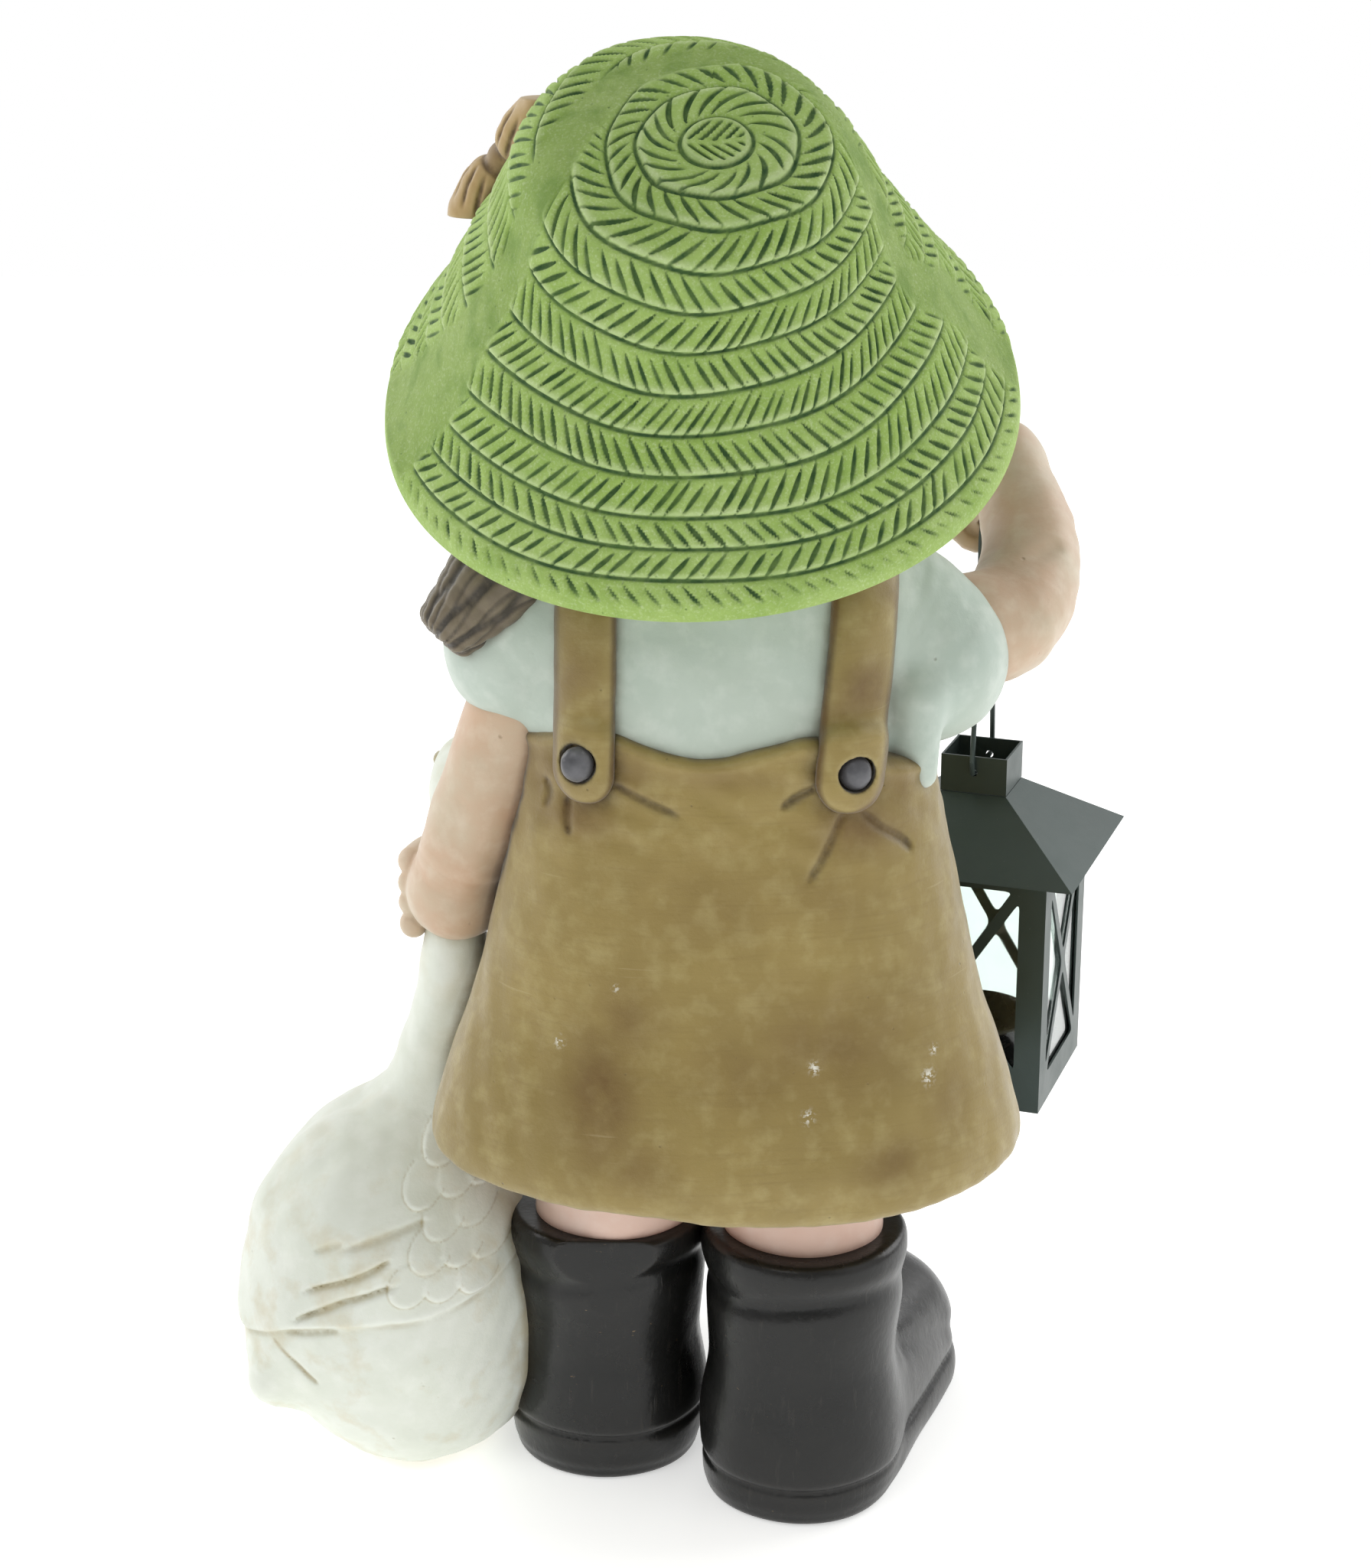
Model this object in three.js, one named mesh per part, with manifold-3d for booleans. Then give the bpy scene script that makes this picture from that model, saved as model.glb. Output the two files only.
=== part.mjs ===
// A cast garden figure: a child in a straw hat, dungaree skirt and boots, who holds a goose by the
// neck in the left hand and a hinged metal candle lantern in the raised right hand.
// Millimetres, +Z up. The figure faces -Y, its left hand is on the +X side, and z = 0 is the ground.
import * as THREE from "three";
import { mergeVertices } from "three/addons/utils/BufferGeometryUtils.js";
import Module from "manifold-3d";

const wasm = await Module();
wasm.setup();

// ---- driving dimensions ----
const GAP = 0.4; // clearance left between two pieces that are cut to fit each other
const CENTRE_X = 3; // the figure's middle plane

const HAT_TILT = THREE.MathUtils.degToRad(34); // the hat leans back
const HAT_ROLL = THREE.MathUtils.degToRad(3); // and a little to the figure's left
const HAT_CENTRE = [9, -10, 450]; // middle of the brim
const HAT_RADIUS = 117;
const HAT_HEIGHT = 106;
const HAT_TOP_RADIUS = 45; // the flat part of the crown
const HAT_CROWN_SHIFT = [5, -11]; // the crown leans to the figure's left and forwards over the brim
const HAT_SIDE_DROOP = 12; // how far the brim's sides hang down

const HEAD_CENTRE = [CENTRE_X + 1, -20, 455];
const HEAD_HALF = [58, 57, 64];
const HAIR_THICK = 8;
const NECK_RADIUS = 27;

const WAIST_Z = 326;
const WAIST_HALF_WIDTH = 75;
const HEM_Z = 152;
const HEM_HALF_WIDTH = 116;
const BODY_DEPTH = 0.69; // depth over width of the skirt and torso
const PLAN_POWER = 2.4; // 2 is an ellipse in plan, more is squarer
const SKIRT_HOLLOW = 34; // how far the underside is hollowed

const SHOULDER_Z = 408;
const SLEEVE_RADIUS = 31;
const ARM_RADIUS = 20;
const STRAP_WIDTH = 22;
const STRAP_THICK = 6;
const STRAP_X = 48; // strap centre line to the figure's middle plane
const STRAP_END_Z = 303;
const BUTTON_RADIUS = 6;

const BOOT_HEIGHT = 114;
const BOOT_HALF_WIDTH = 37;
const BOOT_LENGTH = 164;
const SOLE_THICK = 13;
const LEG_RADIUS = 32;

const GOOSE_CENTRE = [129, -32, 70];
const GOOSE_NECK_Z = 242; // the neck is in two castings that meet inside the fist

const LANTERN_CENTRE = [-108.5, -105, 132]; // middle of the lantern's underside
const LANTERN_TURN = THREE.MathUtils.degToRad(-19.4);
const LANTERN_WIDTH = 75;
const SHEET = 0.9; // sheet metal thickness
const EAVE_WIDTH = 101.5;
const EAVE_Z = 103;
const ROOF_TOP_Z = 128;
const CHIMNEY_WIDTH = 27.7;
const CHIMNEY_TOP_Z = 144;
const BAIL_HOLE_Z = 137;
const BAIL_PIVOT_Z = 242; // above the lantern's underside, in the fist
const BAIL_WIRE = 1.1; // wire radius
const BAIL_HALF_WIDTH = 13.5; // at the fist
const POST_WIDTH = 11;
const RAIL_HEIGHT = 13;
const BAR_HALF = 2.2; // half width of a crossing bar
const GLASS_THICK = 1.6;
const CUP_RADIUS = 25;
const CUP_FOOT_RADIUS = 20.5;
const CUP_TOP_Z = 26;
const PIN_RADIUS = 0.8;
const KNUCKLE_RADIUS = 2;

const vector = (x, y, z) => new THREE.Vector3(x, y, z);
const { smoothstep, lerp, clamp } = THREE.MathUtils;

// ---- solids ----
function solidOf(geometry) {
  const bare = geometry.clone();
  bare.deleteAttribute("normal");
  bare.deleteAttribute("uv");
  const merged = mergeVertices(bare, 1e-4);
  return new wasm.Manifold(
    new wasm.Mesh({
      numProp: 3,
      vertProperties: new Float32Array(merged.attributes.position.array),
      triVerts: new Uint32Array(merged.index.array),
    }),
  );
}

function geometryOf(solid) {
  const mesh = solid.getMesh();
  const geometry = new THREE.BufferGeometry();
  geometry.setAttribute("position", new THREE.BufferAttribute(mesh.vertProperties, 3));
  geometry.setIndex(new THREE.BufferAttribute(mesh.triVerts, 1));
  geometry.computeVertexNormals();
  return geometry;
}

// The same solid with its skin moved outwards by the clearance.
function grown(solid, by = GAP) {
  const geometry = geometryOf(solid);
  const { position, normal } = geometry.attributes;
  for (let i = 0; i < position.count; i += 1) {
    position.setXYZ(
      i,
      position.getX(i) + by * normal.getX(i),
      position.getY(i) + by * normal.getY(i),
      position.getZ(i) + by * normal.getZ(i),
    );
  }
  return solidOf(geometry);
}

const join = (...solids) => solids.reduce((all, next) => all.add(next));
const cut = (solid, ...cutters) => cutters.reduce((rest, next) => rest.subtract(next), solid);
const largest = (solid) => solid.decompose().reduce((a, b) => (b.volume() > a.volume() ? b : a));
// A piece cut back so that it clears its neighbours.
const fitted = (solid, ...neighbours) => largest(cut(solid, ...neighbours.map((n) => grown(n))));

const box = (width, depth, height) => new THREE.BoxGeometry(width, depth, height);
const boxAt = (width, depth, height, x, y, z) => solidOf(box(width, depth, height).translate(x, y, z));

function ellipsoid(centre, half, around = 18, rings = 10) {
  return solidOf(new THREE.SphereGeometry(1, around, rings).scale(...half).translate(...centre));
}

// A lathe about +Z: `outline` lists [radius, z] from the axis round to the axis, bottom first.
function turned(outline, around = 28) {
  const points = outline.map(([r, z]) => new THREE.Vector2(r, z));
  return new THREE.LatheGeometry(points, around).rotateX(Math.PI / 2);
}

// A lathe pressed into the body's plan: shallower than wide, with fuller corners than an ellipse.
function bodyShape(outline, around = 28) {
  const geometry = turned(outline, around);
  const { position } = geometry.attributes;
  for (let i = 0; i < position.count; i += 1) {
    const x = position.getX(i);
    const y = position.getY(i);
    const radius = Math.max(Math.hypot(x, y), 1e-6);
    const sum = Math.abs(x / radius) ** PLAN_POWER + Math.abs(y / radius) ** PLAN_POWER;
    const fuller = radius < 1e-5 ? 1 : sum ** (-1 / PLAN_POWER);
    position.setXY(i, CENTRE_X + x * fuller, y * fuller * BODY_DEPTH);
  }
  return solidOf(geometry);
}

// A round-ended limb along a curve. `radius(t)` is its radius, and `flat` its depth over its width.
function limb(points, radius, { flat = 1, side = [1, 0, 0], around = 10, steps = 4 } = {}) {
  const curve = new THREE.CatmullRomCurve3(points.map((p) => vector(...p)));
  const geometry = new THREE.CapsuleGeometry(1, 2, 3, around, steps);
  const { position } = geometry.attributes;
  for (let i = 0; i < position.count; i += 1) {
    const level = clamp(position.getY(i), -1, 1);
    const t = (level + 1) / 2;
    const along = curve.getTangentAt(t);
    const depth = vector(...side).cross(along).normalize();
    const width = along.clone().cross(depth);
    const size = radius(t);
    const place = curve.getPointAt(t);
    place.addScaledVector(width, position.getX(i) * size);
    place.addScaledVector(depth, position.getZ(i) * size * flat);
    place.addScaledVector(along, (position.getY(i) - level) * size);
    position.setXYZ(i, place.x, place.y, place.z);
  }
  return solidOf(geometry);
}

const taper = (start, end) => (t) => lerp(start, end, t);
const ground = boxAt(900, 900, 200, 0, 0, -100);

// ---- boots and legs ----
function boot(heelX, heelY, turn, lean) {
  const toe = BOOT_LENGTH - 2 * BOOT_HALF_WIDTH; // heel centre to toe centre
  const outline = new THREE.Shape();
  outline.absarc(0, 0, BOOT_HALF_WIDTH - 3, 0, Math.PI, false);
  outline.absarc(0, -toe, BOOT_HALF_WIDTH - 1, Math.PI, 2 * Math.PI, false);
  outline.closePath();
  const bevel = { bevelThickness: 3, bevelSize: 3, bevelSegments: 1, curveSegments: 8 };
  const sole = new THREE.ExtrudeGeometry(outline, { depth: SOLE_THICK - 6, ...bevel });
  sole.translate(0, 0, 3);
  const foot = limb(
    [[0, 0, 26], [0, -toe / 2, 24], [0, -toe - 2, 20]],
    (t) => BOOT_HALF_WIDTH - 1 + 2 * t,
    { flat: 0.98, around: 16 },
  );
  const shaft = turned([
    [0, 16], [BOOT_HALF_WIDTH - 1, 16], [BOOT_HALF_WIDTH - 2, 62], [BOOT_HALF_WIDTH, 98],
    [BOOT_HALF_WIDTH + 2, 106], [BOOT_HALF_WIDTH + 1, BOOT_HEIGHT - 2], [0, BOOT_HEIGHT],
  ], 24);
  const shear = new THREE.Matrix4().set(1, 0, 0, 0, 0, 1, lean / BOOT_HEIGHT, 0, 0, 0, 1, 0, 0, 0, 0, 1);
  shaft.applyMatrix4(shear);
  const whole = geometryOf(cut(join(solidOf(sole), foot, solidOf(shaft)), ground));
  return solidOf(whole.rotateZ(turn).translate(heelX, heelY, 0));
}

const bootLeft = boot(47, -27, THREE.MathUtils.degToRad(4), 14);
const bootRight = fitted(boot(-33, 8, THREE.MathUtils.degToRad(-20), -3), bootLeft);

// ---- skirt: a bell with a hollow underside ----
const skirt = bodyShape([
  [0, HEM_Z + SKIRT_HOLLOW], [LEG_RADIUS * 2, HEM_Z + SKIRT_HOLLOW - 4],
  [HEM_HALF_WIDTH - 22, HEM_Z + 14], [HEM_HALF_WIDTH - 9, HEM_Z + 1], [HEM_HALF_WIDTH - 3, HEM_Z],
  [HEM_HALF_WIDTH, HEM_Z + 5], [HEM_HALF_WIDTH - 5, HEM_Z + 26], [98, 214], [88, 256],
  [WAIST_HALF_WIDTH + 4, WAIST_Z - 26], [WAIST_HALF_WIDTH, WAIST_Z - 8],
  [WAIST_HALF_WIDTH - 1, WAIST_Z - 1], [WAIST_HALF_WIDTH - 4, WAIST_Z], [0, WAIST_Z],
]);

function leg(foot, hip) {
  const thigh = limb([foot, hip], taper(LEG_RADIUS, LEG_RADIUS), { steps: 1, around: 18 });
  return fitted(thigh, skirt, bootLeft, bootRight);
}

const legLeft = leg([44, -13, 100], [36, -6, 160]);
const legRight = fitted(leg([-33, 5, 100], [-30, 2, 160]), legLeft);

// ---- head, hair and hat ----
const head = join(
  ellipsoid(HEAD_CENTRE, HEAD_HALF),
  limb([[CENTRE_X, -6, 380], [CENTRE_X + 1, -12, 430]], taper(NECK_RADIUS, NECK_RADIUS), { steps: 2 }),
);

const hairBall = ellipsoid(
  [HEAD_CENTRE[0], HEAD_CENTRE[1] + 4, HEAD_CENTRE[2] + 2],
  HEAD_HALF.map((half) => half + HAIR_THICK),
);
const faceOpening = boxAt(2 * HEAD_HALF[0] - 22, 80, 120, HEAD_CENTRE[0], -88, 437);
const belowHair = boxAt(300, 300, 100, 0, 0, 359);

// The hat's tilt as a matrix: +Z of the hat's own frame is the crown's axis.
const hatPlace = new THREE.Matrix4()
  .makeTranslation(...HAT_CENTRE)
  .multiply(new THREE.Matrix4().makeRotationY(HAT_ROLL))
  .multiply(new THREE.Matrix4().makeRotationX(-HAT_TILT));

function hatGeometry() {
  const geometry = turned([
    [0, 14], [66, 12], [96, 4], [HAT_RADIUS - 5, -5], [HAT_RADIUS, -3], [HAT_RADIUS - 1, 4],
    [104, 18], [90, 38], [76, 60], [67, 80], [58, HAT_HEIGHT - 9], [HAT_TOP_RADIUS, HAT_HEIGHT - 1],
    [0, HAT_HEIGHT],
  ], 28);
  const { position } = geometry.attributes;
  for (let i = 0; i < position.count; i += 1) {
    const x = position.getX(i);
    const y = position.getY(i);
    const z = position.getZ(i);
    const radius = Math.hypot(x, y);
    const crown = smoothstep(z, 15, HAT_HEIGHT);
    const droop = HAT_SIDE_DROOP * (x / Math.max(radius, 1)) ** 2 * smoothstep(radius, 74, HAT_RADIUS);
    position.setXYZ(i, x + HAT_CROWN_SHIFT[0] * crown, y + HAT_CROWN_SHIFT[1] * crown, z - droop);
  }
  return geometry.applyMatrix4(hatPlace);
}

const hatWhole = solidOf(hatGeometry());

// ---- shirt ----
const torso = bodyShape([
  [0, 305], [WAIST_HALF_WIDTH - 4, 305], [WAIST_HALF_WIDTH - 5, 335], [WAIST_HALF_WIDTH - 6, 365],
  [WAIST_HALF_WIDTH - 10, 388], [54, 402], [36, SHOULDER_Z], [0, SHOULDER_Z + 2],
], 28);
const sleeveLeft = limb([[48, 0, 372], [66, -2, 362], [76, -4, 352]], taper(28, SLEEVE_RADIUS));
const sleeveRight = limb([[-44, -2, 368], [-62, -8, 356], [-75, -11, 344]], taper(30, SLEEVE_RADIUS + 2));
const shirt = fitted(join(torso, sleeveLeft, sleeveRight), skirt, head);

const hair = largest(cut(fitted(hairBall, head, shirt), faceOpening, belowHair));

function pigtail(points) {
  return limb(points, (t) => 15 + 9 * Math.sin(Math.PI * Math.min(1, 0.25 + 0.6 * t)), {
    flat: 0.8,
    side: [0, 1, 0],
  });
}

const pigtailLeft = fitted(pigtail([[66, 0, 408], [80, 8, 388], [91, 12, 373]]), hair, shirt);
const pigtailRight = fitted(pigtail([[-56, -30, 412], [-62, -50, 392], [-60, -62, 368]]), hair, shirt);
const hat = fitted(hatWhole, head, hairBall, pigtailLeft, pigtailRight);

// The bow lies on the crown, front left. Its knot and two loops are one casting.
function bow() {
  const onHat = (x, y, z) => vector(x, y, z).applyMatrix4(hatPlace).toArray();
  const middle = onHat(69, -50, 64);
  const lower = onHat(82, -47, 45);
  const loop = (end) => limb([middle, end], taper(6, 11), { flat: 0.8, side: [0, 1, 0], steps: 1 });
  const tail = limb([lower, onHat(88, -44, 35)], taper(6, 5), { steps: 1 });
  return join(loop(onHat(55, -50, 86)), loop(lower), ellipsoid(middle, [9, 9, 9], 14, 8), tail);
}

const hatBow = fitted(bow(), hat);

// ---- straps and their buttons ----
const dressed = join(torso, skirt);

// A strap hugs the shirt and the waistband from the back, over the shoulder, to the front.
function strap(side) {
  const outline = new THREE.Shape();
  const half = STRAP_WIDTH / 2;
  outline.absarc(0, STRAP_END_Z + half, half, Math.PI, 2 * Math.PI, false);
  outline.lineTo(half, SHOULDER_Z + 30);
  outline.lineTo(-half, SHOULDER_Z + 30);
  outline.closePath();
  const slab = new THREE.ExtrudeGeometry(outline, { depth: 300, bevelEnabled: false, curveSegments: 6 });
  slab.rotateX(Math.PI / 2).translate(CENTRE_X + side * STRAP_X, 150, 0);
  return fitted(grown(dressed, STRAP_THICK).intersect(solidOf(slab)), shirt, skirt, head, hairBall);
}

const strapLeft = fitted(strap(1), pigtailLeft);
const strapRight = fitted(strap(-1), pigtailRight);

// `back` is 1 for a button on the back and -1 for one on the front.
function strapButton(strapSolid, side, back) {
  const plan = (WAIST_HALF_WIDTH ** PLAN_POWER - STRAP_X ** PLAN_POWER) ** (1 / PLAN_POWER);
  const y = back * (plan * BODY_DEPTH + STRAP_THICK);
  const place = [CENTRE_X + side * STRAP_X, y, STRAP_END_Z + 13];
  const dome = ellipsoid(place, [BUTTON_RADIUS, 5, BUTTON_RADIUS], 10, 6);
  return fitted(dome, strapSolid, skirt, shirt);
}

// ---- goose ----
const gooseBody = fitted(
  cut(join(
    ellipsoid(GOOSE_CENTRE, [63, 66, 73]),
    ellipsoid([140, -28, 95], [48, 52, 52]),
    limb([[148, -16, 80], [166, -6, 62], [178, 2, 48]], taper(36, 15), { flat: 0.9 }),
    limb([[122, -44, 118], [113, -36, 160], [106, -24, 205], [104, -22, 236]], (t) => 31 - 21 * Math.sqrt(t)),
  ), ground, boxAt(400, 400, 200, 100, 0, GOOSE_NECK_Z + 100)),
  bootLeft, bootRight, skirt, legLeft,
);
const gooseHead = fitted(cut(join(
  limb([[105, -20, 236], [103, -28, 258], [100, -42, 276]], taper(11, 14)),
  ellipsoid([98, -52, 281], [17, 22, 18], 16, 10),
), boxAt(400, 400, 200, 100, 0, GOOSE_NECK_Z + GAP - 100)), skirt);
const gooseBeak = fitted(
  limb([[97, -66, 279], [95, -84, 274]], taper(9, 6), { flat: 0.7, steps: 2, around: 14 }),
  gooseHead,
);

// ---- arms ----
const armLeft = fitted(join(
  limb([[68, 0, 352], [84, -4, 305], [101, -12, 262]], taper(ARM_RADIUS, ARM_RADIUS - 2)),
  ellipsoid([105, -20, 243], [20, 19, 19], 16, 10),
), shirt, skirt, gooseBody, gooseHead, strapLeft);

// The right fist is closed over the bail's top bar, which runs in a drilled channel.
const lanternPlace = new THREE.Group();
lanternPlace.position.set(...LANTERN_CENTRE);
lanternPlace.rotation.z = LANTERN_TURN;
lanternPlace.updateMatrix();
const fistCentre = vector(0, 0, BAIL_PIVOT_Z + 3).applyMatrix4(lanternPlace.matrix);
const fist = new THREE.SphereGeometry(1, 16, 10).scale(17, BAIL_HALF_WIDTH - 3, 17);
fist.translate(0, 0, BAIL_PIVOT_Z + 3).applyMatrix4(lanternPlace.matrix);
const channel = new THREE.CylinderGeometry(BAIL_WIRE + GAP, BAIL_WIRE + GAP, 2 * BAIL_HALF_WIDTH, 12);
channel.translate(0, 0, BAIL_PIVOT_Z).applyMatrix4(lanternPlace.matrix);

const armRight = cut(fitted(join(
  limb(
    [[-72, -10, 350], [-108, -28, 352], [-120, -58, 372], [-112, -90, 400]],
    (t) => ARM_RADIUS + 3 - 8 * t,
    { side: [0, 0, 1], steps: 10 },
  ),
  limb([[-112, -88, 400], fistCentre.toArray()], taper(15, 10), { steps: 3 }),
  solidOf(fist),
), shirt, strapRight), solidOf(channel));

// ---- lantern ----
const inner = LANTERN_WIDTH - 2 * SHEET;
const windowHalf = LANTERN_WIDTH / 2 - POST_WIDTH;
const windowLow = RAIL_HEIGHT;
const windowHigh = EAVE_Z - 7;
const frameTop = EAVE_Z + 7;

// The four rounded triangles that a crossed-bar window leaves open, as prisms through +Y and -Y.
function windowOpenings(half, low, high, depth) {
  const middle = (low + high) / 2;
  const tall = (high - low) / 2;
  const slope = tall / half;
  const offsetZ = BAR_HALF * Math.hypot(1, slope); // half a bar, measured along z
  const offsetX = offsetZ / slope;
  const prism = (corners) => {
    const shape = new THREE.Shape(roundedCorners(corners));
    const geometry = new THREE.ExtrudeGeometry(shape, { depth, bevelEnabled: false });
    return solidOf(geometry.rotateX(Math.PI / 2).translate(0, depth / 2, 0));
  };
  const upDown = (sign) => [
    [0, middle + sign * offsetZ],
    [half - offsetX, middle + sign * tall],
    [offsetX - half, middle + sign * tall],
  ];
  const leftRight = (sign) => [
    [sign * offsetX, middle], [sign * half, middle - tall + offsetZ], [sign * half, middle + tall - offsetZ],
  ];
  return [upDown(1), upDown(-1), leftRight(1), leftRight(-1)].map(prism);
}

// A polygon with each corner rounded by a curve that starts a short way back from it.
function roundedCorners(corners, back = 3.5, segments = 3) {
  return corners.flatMap((corner, i) => {
    const here = new THREE.Vector2(...corner);
    const before = new THREE.Vector2(...corners.at(i - 1)).sub(here).setLength(back).add(here);
    const after = new THREE.Vector2(...corners[(i + 1) % corners.length]).sub(here).setLength(back).add(here);
    return new THREE.QuadraticBezierCurve(before, here, after).getPoints(segments);
  });
}

const quarterTurned = (solid) => solidOf(geometryOf(solid).rotateZ(Math.PI / 2));

// Three sides and the front posts are folded from one sheet. The door fills the front (-Y) side.
const frontY = -LANTERN_WIDTH / 2;
const doorHalf = LANTERN_WIDTH / 2 - 6;
const doorLow = 5;
const doorHigh = EAVE_Z - 3;
const doorMiddle = (doorLow + doorHigh) / 2;
const doorTall = doorHigh - doorLow - 1.2;
const hingeX = -doorHalf - 0.2;
const hingeY = frontY - KNUCKLE_RADIUS + SHEET;

const upright = (radius, height, sides = 14) =>
  new THREE.CylinderGeometry(radius, radius, height, sides).rotateX(Math.PI / 2);
const pinBore = solidOf(upright(PIN_RADIUS + 0.3, 2 * EAVE_Z).translate(hingeX, hingeY, doorMiddle));

function lanternDoor() {
  const panel = boxAt(2 * doorHalf - 1.2, SHEET, doorTall, 0, frontY + SHEET / 2, doorMiddle);
  const openings = windowOpenings(doorHalf - 7, doorLow + 9, doorHigh - 7, 3 * LANTERN_WIDTH);
  const rolledEdge = solidOf(upright(KNUCKLE_RADIUS, doorTall).translate(hingeX, hingeY, doorMiddle));
  return cut(join(cut(panel, ...openings), rolledEdge), pinBore);
}

// An ear above or below the door's rolled edge holds the hinge pin.
function hingeEar(z) {
  const plate = boxAt(4.8, 2.9, 1.2, hingeX - 0.4, hingeY - 0.75, z);
  const root = boxAt(3.8, 4.2, 1.2, hingeX - 2.4, hingeY - 0.1, z);
  return join(plate, root);
}

function lanternFrame(door) {
  const tube = cut(
    boxAt(LANTERN_WIDTH, LANTERN_WIDTH, frameTop, 0, 0, frameTop / 2),
    boxAt(inner, inner, frameTop + 2, 0, 0, frameTop / 2),
  );
  const frontHalf = boxAt(300, 200, 300, 0, -100, 0);
  const openings = windowOpenings(windowHalf, windowLow, windowHigh, 2 * LANTERN_WIDTH);
  const doorway = boxAt(2 * doorHalf, 10, doorHigh - doorLow, 0, frontY, doorMiddle);
  const sheet = cut(
    tube,
    ...openings.map((opening) => cut(opening, frontHalf)),
    ...openings.map(quarterTurned),
    doorway,
  );
  const ears = [doorLow - 0.6, doorHigh + 0.6].map(hingeEar);
  return fitted(cut(join(sheet, ...ears), pinBore), door);
}

function lanternBase() {
  const outer = inner - 2 * GAP;
  const rim = 7;
  return cut(
    boxAt(outer, outer, rim, 0, 0, rim / 2 + 0.2),
    boxAt(outer - 2 * SHEET, outer - 2 * SHEET, rim, 0, 0, rim / 2 + 0.2 + SHEET),
  );
}

// The pressed cup for the candle stands on the tray.
const cupFloor = SHEET + 0.6;
const candleCup = solidOf(turned([
  [0, cupFloor], [CUP_FOOT_RADIUS, cupFloor], [CUP_FOOT_RADIUS + 1, cupFloor + 6],
  [CUP_RADIUS, CUP_TOP_Z], [CUP_RADIUS - SHEET, CUP_TOP_Z],
  [CUP_FOOT_RADIUS + 1 - SHEET, cupFloor + 6], [CUP_FOOT_RADIUS - SHEET, cupFloor + SHEET],
  [0, cupFloor + SHEET],
], 28));

// A square frustum between two half widths.
function frustum(lowHalf, highHalf, lowZ, highZ) {
  const geometry = new THREE.CylinderGeometry(highHalf * Math.SQRT2, lowHalf * Math.SQRT2, highZ - lowZ, 4);
  return solidOf(geometry.rotateX(Math.PI / 2).rotateZ(Math.PI / 4).translate(0, 0, (highZ + lowZ) / 2));
}

function lanternRoof() {
  const sheet = 1.2 * SHEET; // measured along z on the slope
  const outer = frustum(EAVE_WIDTH / 2, CHIMNEY_WIDTH / 2, EAVE_Z, ROOF_TOP_Z);
  const under = frustum(EAVE_WIDTH / 2, CHIMNEY_WIDTH / 2, EAVE_Z - sheet, ROOF_TOP_Z - sheet);
  const vent = boxAt(CHIMNEY_WIDTH - 5, CHIMNEY_WIDTH - 5, 20, 0, 0, ROOF_TOP_Z);
  return cut(outer, under, vent);
}

function lanternChimney() {
  const low = ROOF_TOP_Z + GAP;
  const height = CHIMNEY_TOP_Z - low;
  const bore = CHIMNEY_WIDTH - 2 * SHEET;
  const bailHole = new THREE.CylinderGeometry(BAIL_WIRE + 0.5, BAIL_WIRE + 0.5, 2 * CHIMNEY_WIDTH, 12);
  return cut(
    boxAt(CHIMNEY_WIDTH, CHIMNEY_WIDTH, height, 0, 0, low + height / 2),
    boxAt(bore, bore, height + 2, 0, 0, low + height / 2),
    solidOf(bailHole.translate(0, 0, BAIL_HOLE_Z)),
  );
}

// The bail's ends hook into the chimney; its legs lean in, then run up to the bar in the fist.
function bailGeometry() {
  const wall = CHIMNEY_WIDTH / 2;
  const half = [
    [wall - 3.5, BAIL_HOLE_Z], [wall - 1, BAIL_HOLE_Z], [wall + 1.2, BAIL_HOLE_Z],
    [wall + 3, BAIL_HOLE_Z + 1.2], [wall + 3.2, BAIL_HOLE_Z + 4], [wall + 1, BAIL_HOLE_Z + 30],
    [BAIL_HALF_WIDTH, BAIL_PIVOT_Z - 30], [BAIL_HALF_WIDTH, BAIL_PIVOT_Z - 5],
    [BAIL_HALF_WIDTH - 0.6, BAIL_PIVOT_Z - 1.4], [BAIL_HALF_WIDTH - 2.6, BAIL_PIVOT_Z],
    [BAIL_HALF_WIDTH - 5, BAIL_PIVOT_Z],
  ];
  const near = half.map(([y, z]) => vector(0, -y, z));
  const far = half.map(([y, z]) => vector(0, y, z)).reverse();
  const path = new THREE.CatmullRomCurve3([...near, ...far], false, "centripetal");
  const section = new THREE.Shape().absarc(0, 0, BAIL_WIRE, 0, 2 * Math.PI, false);
  return new THREE.ExtrudeGeometry(section, { extrudePath: path, steps: 44, curveSegments: 4 });
}

function glassPane(width, y) {
  const low = 8.2;
  const high = EAVE_Z - 3;
  return boxAt(width, GLASS_THICK, high - low, 0, y, (high + low) / 2);
}

const paneOut = inner / 2 - GAP - GLASS_THICK / 2; // pane middle to lantern middle
const paneWidth = 2 * (paneOut - GLASS_THICK);
const backPane = glassPane(paneWidth, paneOut);
const turnedPane = (quarters) => solidOf(geometryOf(backPane).rotateZ(quarters * Math.PI / 2));
const door = lanternDoor();
const hingePin = solidOf(upright(PIN_RADIUS, doorTall + 5).translate(hingeX, hingeY, doorMiddle));
const knobX = doorHalf - 4;
const doorKnob = join(
  solidOf(new THREE.CylinderGeometry(1.2, 1.2, 3.4, 12).translate(knobX, frontY - 2.1, doorMiddle)),
  ellipsoid([knobX, frontY - 4.6, doorMiddle], [3, 2.2, 3], 14, 8),
);

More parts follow.
